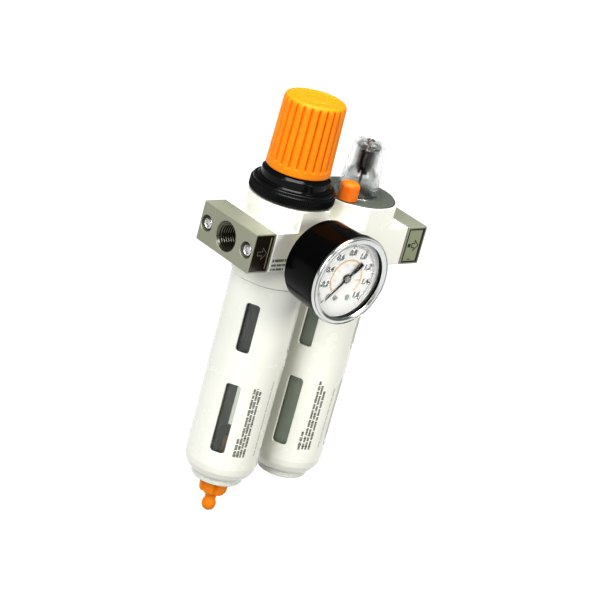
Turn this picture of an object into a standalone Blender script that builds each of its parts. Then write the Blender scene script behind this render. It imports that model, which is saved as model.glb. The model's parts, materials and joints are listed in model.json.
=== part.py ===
"""Compressed-air preparation unit: filter-regulator and lubricator between two port plates.

Metres, +Z up. Origin: centre of the inlet port on the outer face of the inlet plate.
+X is the flow direction, -Y is the gauge side.
"""
import math

import bmesh
import bpy
from mathutils import Matrix, Vector

MM = 0.001

# ---- driving dimensions, millimetres -------------------------------------------------
PLATE_T = 12.0          # port plate thickness
MODULE_W = 40.0         # width of one module along the flow
BLOCK_D = 38.0          # depth of plates and blocks
BLOCK_H = 18.8          # height of plates and blocks
GAP = 0.3               # running gap between parts that meet
FILTER_X = PLATE_T + MODULE_W / 2.0
LUB_X = FILTER_X + MODULE_W
OUTLET_X = PLATE_T * 2.0 + MODULE_W * 2.0
PORT_R = 5.75           # G1/4 core radius
PORT_MOUTH_R = 6.7
CHANNEL_R = 5.0
SCREW_Y = 14.5          # port plate screws, either side of the port
HEAD_R = 19.4           # round neck of a module
NECK_TOP = 19.2
COLLAR_R = 18.0
COLLAR_BOTTOM = -20.0
PAD_W = 15.5            # flat pad on the front and back of the neck
KNOB_R = 14.9
KNOB_BOTTOM = 32.0
KNOB_TOP = 65.7
KNOB_RIBS = 24
NUT_R = 19.7
GUARD_R = 17.4
GUARD_TOP = -20.4
GUARD_BOTTOM = -119.9
BOWL_BOTTOM = -123.5
WINDOW_ANGLE = 48.0     # guard windows either side of the guard's own front
UPPER_SHIFT = 3.0       # the upper windows sit a little further round than the lower ones
FILTER_GUARD_TURN = -4.0
LUB_GUARD_TURN = -10.0
GAUGE_Y = 0.0
CASE_R = 20.3
BEZEL_R = 21.1
PLUG_X, PLUG_Y = 59.2, -7.7

# ---- scene -------------------------------------------------------------------------
for old in list(bpy.data.objects):
    bpy.data.objects.remove(old, do_unlink=True)

HALF_PI = math.pi / 2.0
FACING = {
    "up": (0.0, 0.0, 0.0),
    "front": (HALF_PI, 0.0, 0.0),     # local +Z towards -Y, local +Y up
    "back": (-HALF_PI, 0.0, 0.0),
    "left": (0.0, -HALF_PI, 0.0),     # local +Z towards -X
    "right": (0.0, HALF_PI, 0.0),
}


def paint(name, color, rough, metal=0.0, alpha=1.0):
    mat = bpy.data.materials.new(name)
    mat.use_nodes = True
    shader = mat.node_tree.nodes["Principled BSDF"]
    shader.inputs["Base Color"].default_value = (*color, 1.0)
    shader.inputs["Roughness"].default_value = rough
    shader.inputs["Metallic"].default_value = metal
    shader.inputs["Alpha"].default_value = alpha
    mat.diffuse_color = (*color, alpha)
    return mat


def put(name, mesh, at, facing, color, rough, metal=0.0, alpha=1.0, parent=None):
    obj = bpy.data.objects.new(name, mesh)
    bpy.context.scene.collection.objects.link(obj)
    obj.location = Vector(at) * MM
    obj.rotation_euler = FACING[facing]
    mesh.materials.append(paint(name + "_mat", color, rough, metal, alpha))
    mesh.shade_smooth()
    mesh.set_sharp_from_angle(angle=math.radians(32))
    if parent is not None:
        bpy.context.view_layer.update()
        obj.parent = parent
        obj.matrix_parent_inverse = parent.matrix_world.inverted()
    return obj


def axis_at(name, at, parent=None):
    """Empty on a joint axis."""
    empty = bpy.data.objects.new(name, None)
    bpy.context.scene.collection.objects.link(empty)
    empty.location = Vector(at) * MM
    bpy.context.view_layer.update()
    if parent is not None:
        empty.parent = parent
        empty.matrix_parent_inverse = parent.matrix_world.inverted()
        bpy.context.view_layer.update()
    return empty


def finish(bm, name):
    bmesh.ops.recalc_face_normals(bm, faces=bm.faces)
    mesh = bpy.data.meshes.new(name)
    bm.to_mesh(mesh)
    bm.free()
    return mesh


def lathe(profile, segs, phase=0.0):
    """Closed (r, z) loop turned about local Z; r = 0 points sit on the axis."""
    bm = bmesh.new()
    rings = []
    for r, z in profile:
        if r < 1e-9:
            rings.append([bm.verts.new((0, 0, z * MM))])
            continue
        rings.append([
            bm.verts.new((r * MM * math.cos(phase + math.tau * k / segs),
                          r * MM * math.sin(phase + math.tau * k / segs), z * MM))
            for k in range(segs)
        ])
    for i, ring in enumerate(rings):
        other = rings[(i + 1) % len(rings)]
        for k in range(segs):
            n = (k + 1) % segs
            if len(ring) == 1 and len(other) == 1:
                continue
            if len(ring) == 1:
                bm.faces.new((ring[0], other[n], other[k]))
            elif len(other) == 1:
                bm.faces.new((ring[k], ring[n], other[0]))
            else:
                bm.faces.new((ring[k], ring[n], other[n], other[k]))
    return finish(bm, "lathe")


def prism(outline, z0, z1):
    bm = bmesh.new()
    low = [bm.verts.new((x * MM, y * MM, z0 * MM)) for x, y in outline]
    high = [bm.verts.new((x * MM, y * MM, z1 * MM)) for x, y in outline]
    n = len(outline)
    bm.faces.new(low[::-1])
    bm.faces.new(high)
    for i in range(n):
        j = (i + 1) % n
        bm.faces.new((low[i], low[j], high[j], high[i]))
    return finish(bm, "prism")


def loft(rings):
    """Closed solid through rings of equal point count, each a list of (x, y, z)."""
    bm = bmesh.new()
    made = [[bm.verts.new((x * MM, y * MM, z * MM)) for x, y, z in ring] for ring in rings]
    bm.faces.new(made[0][::-1])
    bm.faces.new(made[-1])
    n = len(made[0])
    for a, b in zip(made, made[1:]):
        for i in range(n):
            j = (i + 1) % n
            bm.faces.new((a[i], a[j], b[j], b[i]))
    return finish(bm, "loft")


def box(x0, x1, y0, y1, z0, z1):
    return prism([(x0, y0), (x1, y0), (x1, y1), (x0, y1)], z0, z1)


def circle(r, n, phase=0.0, cx=0.0, cy=0.0):
    return [(cx + r * math.cos(phase + math.tau * k / n), cy + r * math.sin(phase + math.tau * k / n))
            for k in range(n)]


def rod(r, z0, z1, segs=24, phase=0.0):
    return prism(circle(r, segs, phase), z0, z1)


def ring_profile(cx, cz, r, n=6):
    return [(cx + r * math.cos(math.tau * k / n), cz + r * math.sin(math.tau * k / n)) for k in range(n)]


helpers = [0]
MANY_BORES = ("regulator_body", "lubricator_body")


def shape(obj, mesh, at=(0, 0, 0), facing="up", op="DIFFERENCE", spin=0.0):
    """Cuts a hidden helper out of obj, or joins it on."""
    helpers[0] += 1
    tool = bpy.data.objects.new("helper_%03d" % helpers[0], mesh)
    bpy.context.scene.collection.objects.link(tool)
    tool.location = Vector(at) * MM
    tool.rotation_euler = FACING[facing]
    if spin:
        tool.rotation_euler = (0.0, 0.0, math.radians(spin))
    tool.hide_render = True
    tool.display_type = "WIRE"
    mod = obj.modifiers.new(op.lower(), "BOOLEAN")
    mod.operation = op
    mod.object = tool
    # the module bodies meet too many concentric rings for the exact solver
    mod.solver = "MANIFOLD" if obj.name in MANY_BORES else "EXACT"
    return tool


def soften(obj, width, segments=2, angle=30.0):
    mod = obj.modifiers.new("edges", "BEVEL")
    mod.width = width * MM
    mod.segments = segments
    mod.limit_method = "ANGLE"
    mod.angle_limit = math.radians(angle)


def wire(name, points, radius, color, rough, metal=0.0, sides=0, parent=None):
    """Round wire or tube along points, millimetres."""
    data = bpy.data.curves.new(name, "CURVE")
    data.dimensions = "3D"
    data.bevel_depth = radius * MM
    data.bevel_resolution = sides
    data.use_fill_caps = True
    line = data.splines.new("POLY")
    line.points.add(len(points) - 1)
    for point, place in zip(line.points, points):
        point.co = (place[0] * MM, place[1] * MM, place[2] * MM, 1.0)
    obj = bpy.data.objects.new(name, data)
    bpy.context.scene.collection.objects.link(obj)
    data.materials.append(paint(name + "_mat", color, rough, metal))
    if parent is not None:
        obj.parent = parent
        obj.matrix_parent_inverse = parent.matrix_world.inverted()
    return obj


WHITE = (0.83, 0.83, 0.78)
PLATE = (0.42, 0.43, 0.35)
BLACK = (0.012, 0.012, 0.013)
ORANGE = (1.0, 0.30, 0.01)
STEEL = (0.62, 0.62, 0.62)
BRASS = (0.72, 0.52, 0.22)
CLEAR = (0.80, 0.86, 0.84)
RUBBER = (0.02, 0.02, 0.02)
COVER = (0.055, 0.065, 0.06)

HALF_D = BLOCK_D / 2.0
HALF_H = BLOCK_H / 2.0
A = GAP / 2.0

# ---- port plates ---------------------------------------------------------------------
for side, x0, x1, outer, facing in (
    ("inlet", 0.0, PLATE_T - A, 0.0, "left"),
    ("outlet", OUTLET_X - PLATE_T + A, OUTLET_X, OUTLET_X, "right"),
):
    inner = x1 if side == "inlet" else x0
    into = 1.0 if side == "inlet" else -1.0
    plate = put(side + "_plate", box(x0, x1, -HALF_D, HALF_D, -HALF_H, HALF_H), (0, 0, 0), "up", PLATE, 0.38, 0.55)
    soften(plate, 0.45, 1)
    shape(plate, rod(PORT_R, -PLATE_T - 1, 1, 20), (outer, 0, 0), facing)
    shape(plate, lathe([(0, -1.6), (PORT_R - 0.2, -1.6), (PORT_MOUTH_R + 0.35, 0.4), (0, 0.4)], 20), (outer, 0, 0), facing)
    for y in (-SCREW_Y, SCREW_Y):
        shape(plate, rod(3.75, -4.9, 1, 14), (outer, y, 0), facing)
        shape(plate, rod(2.3, -PLATE_T - 1, 1, 8), (outer, y, 0), facing)
    # seal groove round the channel on the inner face
    groove = lathe([(6.5, -1), (9.0, -1), (9.0, 1.5), (6.5, 1.5)], 16)
    shape(plate, groove, (inner, 0, 0), "left" if side == "inlet" else "right")
    # pocket for the flow-direction inlay
    low, high = sorted((outer + into * 0.9, outer + into * 11.1))
    shape(plate, box(low, high, -HALF_D - 1, -HALF_D + 0.9, -8.6, 8.6))
    inlay = put(side + "_inlay", box(low + GAP, high - GAP, -HALF_D + 0.1, -HALF_D + 0.6, -8.3, 8.3), (0, 0, 0), "up",
                (0.03, 0.025, 0.02) if side == "inlet" else (0.16, 0.19, 0.15), 0.25)
    # face seal
    put(side + "_seal", lathe(ring_profile(7.75, 0.0, 0.7, 5), 16), (inner - into * 0.6, 0, 0), facing, RUBBER, 0.6)
    # cap screws
    for label, y in (("front", -SCREW_Y), ("rear", SCREW_Y)):
        head = [(0, -20.5), (1.6, -20.5), (2.0, -20.0), (2.0, -4.6), (3.45, -4.6), (3.45, -0.95), (3.15, -0.6), (0, -0.6)]
        screw = put("%s_screw_%s" % (side, label), lathe(head, 12), (outer, y, 0), facing, STEEL, 0.25, 1.0)
        shape(screw, rod(1.73, -2.7, 0.5, 6), (outer, y, 0), facing)

# ---- module bodies -------------------------------------------------------------------


def head_outline(r, pad_w, n=30):
    """Round neck with a flat pad on the front and one on the back, flush with the block."""
    half = pad_w / 2.0
    pts = []
    for k in range(n):
        a = math.tau * (k + 0.5) / n
        x, y = r * math.cos(a), r * math.sin(a)
        if abs(x) > half + 0.3:
            pts.append((a, x, y))
    edge = math.sqrt(r * r - half * half)
    corners = [
        (math.atan2(edge, half), half, edge), (math.atan2(edge, half) + 1e-4, half, HALF_D),
        (math.atan2(edge, -half) - 1e-4, -half, HALF_D), (math.atan2(edge, -half), -half, edge),
        (math.atan2(-edge, -half) % math.tau, -half, -edge), (math.atan2(-edge, -half) % math.tau + 1e-4, -half, -HALF_D),
        (math.atan2(-edge, half) % math.tau - 1e-4, half, -HALF_D), (math.atan2(-edge, half) % math.tau, half, -edge),
    ]
    return [(x, y) for a, x, y in sorted(pts + corners)]


def module(name, cx, color):
    x0, x1 = cx - MODULE_W / 2.0 + A, cx + MODULE_W / 2.0 - A
    body = put(name, box(x0, x1, -HALF_D, HALF_D, -HALF_H, HALF_H), (0, 0, 0), "up", color, 0.3)
    soften(body, 0.4, 1)
    shape(body, prism(head_outline(HEAD_R, PAD_W), 4.0, NECK_TOP), (cx, 0, 0), op="UNION")
    collar = lathe([(0, COLLAR_BOTTOM), (COLLAR_R, COLLAR_BOTTOM), (COLLAR_R, -5), (0, -5)], 28, 0.03)
    shape(body, collar, (cx, 0, 0), op="UNION")
    # bowl socket: seal land above, bayonet ring below
    socket = [(0, -22), (17.0, -22), (17.0, -17.5), (15.7, -17.0), (15.7, -10.6), (0, -10.6)]
    shape(body, lathe(socket, 28, 0.03), (cx, 0, 0))
    for x, facing in ((x0, "left"), (x1, "right")):
        for y in (-SCREW_Y, SCREW_Y):
            shape(body, rod(2.3, -10.3, 1, 8), (x, y, 0), facing)
    return body, x0, x1


regulator, rx0, rx1 = module("regulator_body", FILTER_X, WHITE)
shape(regulator, rod(16.2, 11.5, 21, 28), (FILTER_X, 0, 0))
shape(regulator, rod(9.0, 3.0, 12.5, 16), (FILTER_X, 0, 0))
shape(regulator, rod(3.6, 0.8, 3.6, 12), (FILTER_X, 0, 0))
shape(regulator, rod(5.4, -12.0, 1.5, 14), (FILTER_X, 0, 0))
shape(regulator, rod(CHANNEL_R, -11.2, 1, 14), (rx0, 0, 0), "left")
shape(regulator, box(18.6, 23.2, -4.0, 4.0, -12.0, 0.0))
shape(regulator, rod(CHANNEL_R, -12.8, 1, 14), (rx1, 0, 0), "right")
for facing, y in (("front", -HALF_D), ("back", HALF_D)):
    shape(regulator, rod(5.0, -11.2, 1, 16, 0.02), (FILTER_X, y, 0), facing)

lubricator, lx0, lx1 = module("lubricator_body", LUB_X, WHITE)
shape(lubricator, rod(18.5, 17.3, 21, 32, 0.04), (LUB_X, 0, 0))
shape(lubricator, rod(CHANNEL_R, -41, 1, 14), (lx0, 0, 0), "left")
shape(lubricator, rod(6.2, 7.0, 18.0, 12), (LUB_X, 0, 0))
shape(lubricator, rod(1.5, 3.0, 8.0, 6), (LUB_X, 0, 0))
shape(lubricator, rod(2.0, -12.0, 18.0, 10), (LUB_X, 9.6, 0))
shape(lubricator, rod(2.7, 8.0, 18.0, 10), (PLUG_X, PLUG_Y, 0))
shape(lubricator, rod(0.9, -12.0, 9.0, 6), (PLUG_X + 0.4, PLUG_Y - 0.6, 0))
groove = lathe([(6.5, -1), (9.0, -1), (9.0, 1.5), (6.5, 1.5)], 16)
shape(lubricator, groove, (lx0, 0, 0), "right")
put("middle_seal", lathe(ring_profile(7.75, 0.0, 0.7, 5), 16), (lx0 + 0.6, 0, 0), "left", RUBBER, 0.6)
for label, y in (("front", -SCREW_Y), ("rear", SCREW_Y)):
    stud = [(0, -9.0), (1.6, -9.0), (2.0, -8.6), (2.0, 8.6), (1.6, 9.0), (0, 9.0)]
    put("joining_stud_" + label, lathe(stud, 8), (PLATE_T + MODULE_W, y, 0), "right", STEEL, 0.3, 1.0)

# ---- regulator head ------------------------------------------------------------------
bonnet = [
    (11.3, 13.9), (15.8, 13.9), (15.8, 19.5), (17.2, 19.5), (17.2, 26.2), (16.6, 26.8), (15.9, 26.9), (15.9, 30.2),
    (14.4, 31.5), (12.4, 31.5), (12.4, 54.4), (11.5, 55.3), (3.7, 55.3), (3.7, 53.0), (11.3, 53.0),
]
put("bonnet", lathe(bonnet, 20), (FILTER_X, 0, 0), "up", BLACK, 0.25)
nut = [(17.5, 19.7), (19.3, 19.7), (19.7, 20.1), (19.7, 24.1), (19.2, 24.6), (18.7, 24.7), (18.7, 25.5), (18.3, 25.9),
       (17.5, 25.9)]
put("panel_nut", lathe(nut, 24), (FILTER_X, 0, 0), "up", BLACK, 0.3)

turning = axis_at("axis_spindle", (FILTER_X, 0, KNOB_BOTTOM))
lifting = axis_at("axis_knob", (FILTER_X, 0, KNOB_BOTTOM), turning)


def knob_ring(r, z, depth):
    ring = []
    for k in range(KNOB_RIBS):
        base = math.tau * k / KNOB_RIBS
        step = math.tau / KNOB_RIBS
        for share, dip in ((0.0, depth), (0.3, 0.0), (0.7, 0.0)):
            a = base + step * share
            ring.append(((r - dip) * math.cos(a), (r - dip) * math.sin(a), z))
    return ring


knob_rings = [knob_ring(KNOB_R, 0.0, 0.0), knob_ring(KNOB_R, 3.4, 0.0), knob_ring(KNOB_R - 0.05, 4.0, 0.7),
              knob_ring(14.45, 32.0, 0.7), knob_ring(13.1, KNOB_TOP - KNOB_BOTTOM, 0.0)]
knob = put("adjusting_knob", loft(knob_rings), (FILTER_X, 0, KNOB_BOTTOM), "up", ORANGE, 0.35, parent=lifting)
hollow = [(0, -1), (13.2, -1), (13.2, 26.6), (12.4, 27.4), (5.5, 27.4), (5.5, 24.4), (3.7, 24.4), (3.7, 29.6), (0, 29.6)]
shape(knob, lathe(hollow, 20), (FILTER_X, 0, KNOB_BOTTOM))

spindle = [(0, 22.0), (2.5, 22.0), (3.0, 22.6), (3.0, 50.1), (6.0, 50.1), (6.0, 52.6), (3.3, 52.6), (3.3, 60.6),
           (2.8, 61.2), (0, 61.2)]
put("adjusting_spindle", lathe([(r, z - KNOB_BOTTOM) for r, z in spindle], 12), (FILTER_X, 0, KNOB_BOTTOM), "up",
    STEEL, 0.3, 1.0, parent=turning)
spring_nut = [(3.4, 43.4), (5.6, 43.4), (5.6, 46.2), (10.7, 46.2), (10.7, 49.0), (3.4, 49.0)]
put("spring_nut", lathe([(r, z - 46.2) for r, z in spring_nut], 16), (FILTER_X, 0, 46.2), "up", BRASS, 0.35, 1.0)


def coil(r, z0, z1, turns, wire_r, steps, cx):
    """Compression spring with one closed turn at each end."""
    low, high = z0 + wire_r, z1 - wire_r
    closed = 2.0 * wire_r + 0.3
    free = (high - low - 2.0 * closed) / (turns - 2.0)
    pts = []
    total = int(turns * steps)
    for k in range(total + 1):
        t = turns * k / total
        if t < 1.0:
            z = low + closed * t
        elif t > turns - 1.0:
            z = high - closed * (turns - t)
        else:
            z = low + closed + free * (t - 1.0)
        pts.append((cx + r * math.cos(math.tau * t), r * math.sin(math.tau * t), z))
    return pts


wire("regulating_spring", coil(7.5, 14.5, 45.8, 7.5, 1.1, 9, FILTER_X), 1.1, STEEL, 0.35, 1.0)
diaphragm = [(2.2, 12.0), (10.0, 12.0), (11.5, 12.7), (13.0, 12.0), (13.4, 11.8), (15.6, 11.8), (15.6, 13.6),
             (13.4, 13.6), (13.0, 13.0), (11.5, 13.7), (10.0, 13.0), (2.2, 13.0)]
put("diaphragm", lathe(diaphragm, 14), (FILTER_X, 0, 0), "up", RUBBER, 0.7)
pressure_plate = [(0.7, 11.0), (1.9, 11.0), (1.9, 13.3), (9.4, 13.3), (9.4, 14.2), (5.9, 14.2), (5.9, 15.6), (0.7, 15.6)]
put("diaphragm_plate", lathe(pressure_plate, 14), (FILTER_X, 0, 0), "up", (0.75, 0.76, 0.78), 0.35, 1.0)
poppet = [(0, -7.0), (1.5, -7.0), (1.5, -0.6), (4.9, -0.6), (4.9, 0.9), (4.3, 1.2), (1.2, 1.2), (1.2, 10.4), (0.9, 10.7),
          (0, 10.7)]
put("valve_poppet", lathe(poppet, 12), (FILTER_X, 0, 0), "up", BRASS, 0.35, 1.0)
wire("valve_spring", coil(2.9, -6.3, -0.9, 4.0, 0.3, 8, FILTER_X), 0.3, STEEL, 0.3, 1.0)
guide = [(2.0, -6.6), (5.0, -6.6), (5.0, -10.9), (7.4, -10.9), (7.4, -13.0), (5.0, -13.0), (5.0, -19.0), (2.8, -19.0),
         (2.8, -14.4), (2.0, -14.4)]
put("valve_guide", lathe(guide, 14), (FILTER_X, 0, 0), "up", (0.75, 0.74, 0.70), 0.45)

# ---- filter --------------------------------------------------------------------------
VANES = 10


def vane_outline(r_root, r_tip, sweep, z):
    pts = []
    for k in range(VANES):
        for share, r in ((0.0, r_root), (0.5, r_root), (0.6, r_tip), (0.9, r_tip)):
            a = math.tau * (k + share) / VANES + sweep
            pts.append((r * math.cos(a), r * math.sin(a), z))
    return pts


swirl = put("swirl_vane", loft([vane_outline(9.4, 11.8, 0.0, -20.4), vane_outline(9.4, 11.8, 0.3, -13.6)]),
            (FILTER_X, 0, 0), "up", (0.75, 0.74, 0.70), 0.5)
shape(swirl, rod(7.8, -22, -12, 14), (FILTER_X, 0, 0))
element = [(5.2, -51.6), (8.8, -51.6), (8.8, -21.0), (5.2, -21.0)]
put("filter_element", lathe(element, 20), (FILTER_X, 0, 0), "up", (0.14, 0.13, 0.12), 0.85)
baffle = [(0, -58.0), (2.0, -58.0), (9.0, -56.8), (11.4, -54.6), (11.4, -53.9), (8.6, -51.9), (4.6, -51.9), (2.5, -51.2),
          (2.5, -15.2), (2.1, -14.8), (0, -14.8)]
put("baffle", lathe(baffle, 14), (FILTER_X, 0, 0), "up", (0.02, 0.02, 0.02), 0.5)


def bowl_outer():
    return [(12.2, -11.0), (15.3, -11.0), (15.3, -13.8), (13.7, -13.8), (13.7, -16.2), (15.3, -16.2), (15.5, -21.0),
            (15.3, -108.0), (14.9, -111.0), (14.0, -113.8), (12.5, -116.4), (12.2, -117.6), (12.2, -123.0),
            (11.7, BOWL_BOTTOM)]


filter_turn = axis_at("axis_filter_bowl", (FILTER_X, 0, COLLAR_BOTTOM))
lub_turn = axis_at("axis_lubricator_bowl", (LUB_X, 0, COLLAR_BOTTOM))
filter_bowl = bowl_outer() + [(7.4, BOWL_BOTTOM), (7.4, -122.9), (3.5, -122.9), (3.5, -116.9), (5.0, -116.9), (5.0, -115.5), (10.6, -115.5),
                              (12.7, -112.6), (13.5, -108.4), (13.7, -24.0), (12.2, -20.6)]
put("filter_bowl", lathe([(r, z - COLLAR_BOTTOM) for r, z in filter_bowl], 18), (FILTER_X, 0, COLLAR_BOTTOM), "up",
    CLEAR, 0.1, alpha=0.4, parent=filter_turn)
lub_bowl = bowl_outer() + [(9.0, BOWL_BOTTOM), (8.4, -121.8), (0, -121.8), (0, -115.5), (10.6, -115.5), (12.7, -112.6),
                           (13.5, -108.4), (13.7, -24.0), (12.2, -20.6)]
put("lubricator_bowl", lathe([(r, z - COLLAR_BOTTOM) for r, z in lub_bowl], 18), (LUB_X, 0, COLLAR_BOTTOM), "up",
    CLEAR, 0.1, alpha=0.4, parent=lub_turn)
for name, cx, empty in (("filter_bowl_seal", FILTER_X, filter_turn), ("lubricator_bowl_seal", LUB_X, lub_turn)):
    put(name, lathe(ring_profile(14.65, 5.0, 0.75, 5), 18), (cx, 0, COLLAR_BOTTOM), "up", RUBBER, 0.6, parent=empty)


def window(width, z0, z1, angle, corner):
    """Rounded slot through the guard wall, at an angle from its front."""
    half = width / 2.0
    outline = []
    for sx, sz, a0 in ((1, 1, 0), (-1, 1, 90), (-1, -1, 180), (1, -1, 270)):
        mx = sx * (half - corner)
        mz = (z1 - corner) if sz > 0 else (z0 + corner)
        for k in range(2):
            a = math.radians(a0 + 90 * k)
            outline.append((mx + corner * math.cos(a), mz + corner * math.sin(a)))
    bm = bmesh.new()
    near = [bm.verts.new((x * MM, -12.0 * MM, z * MM)) for x, z in outline]
    far = [bm.verts.new((x * MM, -20.0 * MM, z * MM)) for x, z in outline]
    bm.faces.new(near)
    bm.faces.new(far[::-1])
    n = len(outline)
    for i in range(n):
        j = (i + 1) % n
        bm.faces.new((near[i], near[j], far[j], far[i]))
    bmesh.ops.rotate(bm, verts=bm.verts, cent=(0, 0, 0), matrix=Matrix.Rotation(math.radians(angle), 3, "Z"))
    return finish(bm, "window")


guard_profile = [
    (16.1, -17.8), (16.7, -17.8), (16.7, GUARD_TOP), (GUARD_R, GUARD_TOP), (GUARD_R, -60.0), (17.2, -112.4), (16.7, -115.5),
    (15.2, -118.2), (13.8, -119.5), (12.9, GUARD_BOTTOM), (12.7, -118.9), (14.4, -117.5), (15.5, -115.1), (16.0, -112.0),
]
for name, cx, turn, empty in (("filter_bowl_guard", FILTER_X, FILTER_GUARD_TURN, filter_turn),
                              ("lubricator_bowl_guard", LUB_X, LUB_GUARD_TURN, lub_turn)):
    guard = put(name, lathe([(r, z - COLLAR_BOTTOM) for r, z in guard_profile], 24), (cx, 0, COLLAR_BOTTOM), "up", WHITE, 0.3,
                parent=empty)
    for angle in (-WINDOW_ANGLE, WINDOW_ANGLE, 180.0 - WINDOW_ANGLE, 180.0 + WINDOW_ANGLE):
        shape(guard, window(6.4, -53.8, -29.8, angle + turn - UPPER_SHIFT, 1.5), (cx, 0, 0))
        shape(guard, window(7.4, -104.8, -70.0, angle + turn, 1.6), (cx, 0, 0))

# ---- drain ---------------------------------------------------------------------------
drain_axis = axis_at("axis_drain", (FILTER_X, 0, -123.8), filter_turn)
LOBES = 6


def lobed(r_out, r_in, z):
    pts = []
    for k in range(LOBES):
        for share, r in ((0.08, r_in), (0.22, r_out), (0.5, r_out + 0.25), (0.78, r_out), (0.92, r_in)):
            a = math.tau * (k + share) / LOBES
            pts.append((r * math.cos(a), r * math.sin(a), z))
    return pts


knob_low = [lobed(6.0, 4.9, -131.6 + 123.8), lobed(6.6, 5.3, -131.0 + 123.8), lobed(6.8, 5.4, -124.7 + 123.8),
            lobed(6.5, 5.3, 0.0)]
drain = put("drain_knob", loft(knob_low), (FILTER_X, 0, -123.8), "up", ORANGE, 0.35, parent=drain_axis)
tip = [(0, -141.7), (1.7, -141.5), (2.9, -140.2), (3.3, -138.4), (2.9, -136.7), (2.5, -135.9), (2.7, -134.0), (3.1, -131.0),
       (0, -131.0)]
shape(drain, lathe(tip, 12), (FILTER_X, 0, 0), op="UNION")
shape(drain, lathe([(0, -145), (1.0, -145), (1.0, -129.4), (3.1, -129.4), (3.1, -122), (0, -122)], 10), (FILTER_X, 0, 0))
stem = [(0, -128.8), (2.5, -128.8), (2.5, -115.1), (4.2, -115.1), (4.2, -100.0), (3.4, -98.0), (0, -98.0)]
put("drain_stem", lathe([(r, z + 115.1) for r, z in stem], 14), (FILTER_X, 0, -115.1), "up", ORANGE, 0.4, parent=filter_turn)
put("drain_seal", lathe(ring_profile(3.85, 0.0, 0.55, 5), 12), (FILTER_X, 0, -116.15), "up", RUBBER, 0.6, parent=filter_turn)

# ---- pressure gauge: local +Z faces the reader, local +Y is up ------------------------
G = (FILTER_X, 0, GAUGE_Y)
stem_shape = [(0, 10.4), (4.2, 10.4), (4.6, 10.9), (4.6, 19.3), (5.4, 19.3), (5.4, 29.4), (4.0, 29.4), (4.0, 33.4), (0, 33.4)]
socket = put("gauge_socket", lathe(stem_shape, 16), G, "front", BRASS, 0.35, 1.0)
shape(socket, prism(circle(8.0, 6, math.radians(30)), 19.6, 25.6), G, "front", op="UNION")
shape(socket, rod(1.2, 9.0, 31.0, 10), G, "front")
case = [(5.8, 27.3), (18.5, 27.3), (19.4, 28.1), (CASE_R, 46.9), (CASE_R, 47.7), (19.0, 47.7), (18.9, 46.0), (18.0, 28.8),
        (5.8, 28.8)]
put("gauge_case", lathe(case, 30), G, "front", BLACK, 0.3)
bezel = [(20.6, 47.2), (BEZEL_R, 47.2), (BEZEL_R, 50.3), (20.6, 51.0), (18.5, 51.0), (17.8, 50.6), (17.8, 50.3), (20.6, 50.3)]
put("gauge_bezel", lathe(bezel, 30), G, "front", (0.75, 0.76, 0.76), 0.12, 0.8)
put("gauge_lens", lathe([(0, 49.4), (18.6, 49.4), (18.6, 47.9), (20.3, 47.9), (20.3, 50.1), (0, 50.1)], 28), G, "front", CLEAR, 0.05, alpha=0.3)
put("gauge_dial", lathe([(1.5, 46.7), (18.6, 46.7), (18.6, 47.3), (1.5, 47.3)], 24), G, "front", (0.85, 0.85, 0.83), 0.5)

NEEDLE_DEPTH = 47.6
SWEEP_START = math.radians(225.0)       # zero mark, measured in the gauge's local frame
needle_axis = axis_at("axis_needle", (FILTER_X, -NEEDLE_DEPTH, GAUGE_Y))
ca, sa = math.cos(SWEEP_START), math.sin(SWEEP_START)
flat = [(14.2, -0.12), (14.2, 0.12), (1.0, 0.45), (-4.0, 0.5), (-4.6, 1.0), (-9.6, 1.1), (-9.6, -1.1), (-4.6, -1.0), (-4.0, -0.5),
        (1.0, -0.45)]
needle = put("gauge_needle", prism([(x * ca - y * sa, x * sa + y * ca) for x, y in flat], 0.35, 0.75), (FILTER_X, -NEEDLE_DEPTH, GAUGE_Y),
             "front", BLACK, 0.3, parent=needle_axis)
shape(needle, lathe([(0, 0.0), (1.9, 0.0), (1.9, 1.0), (1.3, 1.4), (0, 1.4)], 16), (FILTER_X, -NEEDLE_DEPTH, GAUGE_Y), "front", op="UNION")

MODULE_G = 0.35
PINION_Z = 10
SECTOR_Z = 60
PINION_R = MODULE_G * PINION_Z / 2.0
SECTOR_R = MODULE_G * SECTOR_Z / 2.0
CENTRES = PINION_R + SECTOR_R
TO_SECTOR = math.radians(225.0)
SX, SY = CENTRES * math.cos(TO_SECTOR), CENTRES * math.sin(TO_SECTOR)


def teeth(centre, count, r_pitch, first, n_total):
    """Toothed arc with backlash, as polar points (angle, radius)."""
    pitch = math.tau / n_total
    pts = []
    for k in range(count):
        mid = centre + first + pitch * k
        for share, r in ((-0.26, r_pitch - 0.44), (-0.12, r_pitch + 0.27), (0.12, r_pitch + 0.27), (0.26, r_pitch - 0.44)):
            pts.append((mid + share * pitch, r))
    return pts


pinion_pts = [(r * math.cos(a), r * math.sin(a)) for a, r in teeth(TO_SECTOR, PINION_Z, PINION_R, 0.0, PINION_Z)]
arbor = put("gauge_arbor", prism(pinion_pts, 37.4, 38.9), (FILTER_X, 0, GAUGE_Y), "front", BRASS, 0.3, 1.0, parent=needle_axis)
shape(arbor, rod(0.7, 36.4, 47.3, 10), (FILTER_X, 0, GAUGE_Y), "front", op="UNION")

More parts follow.
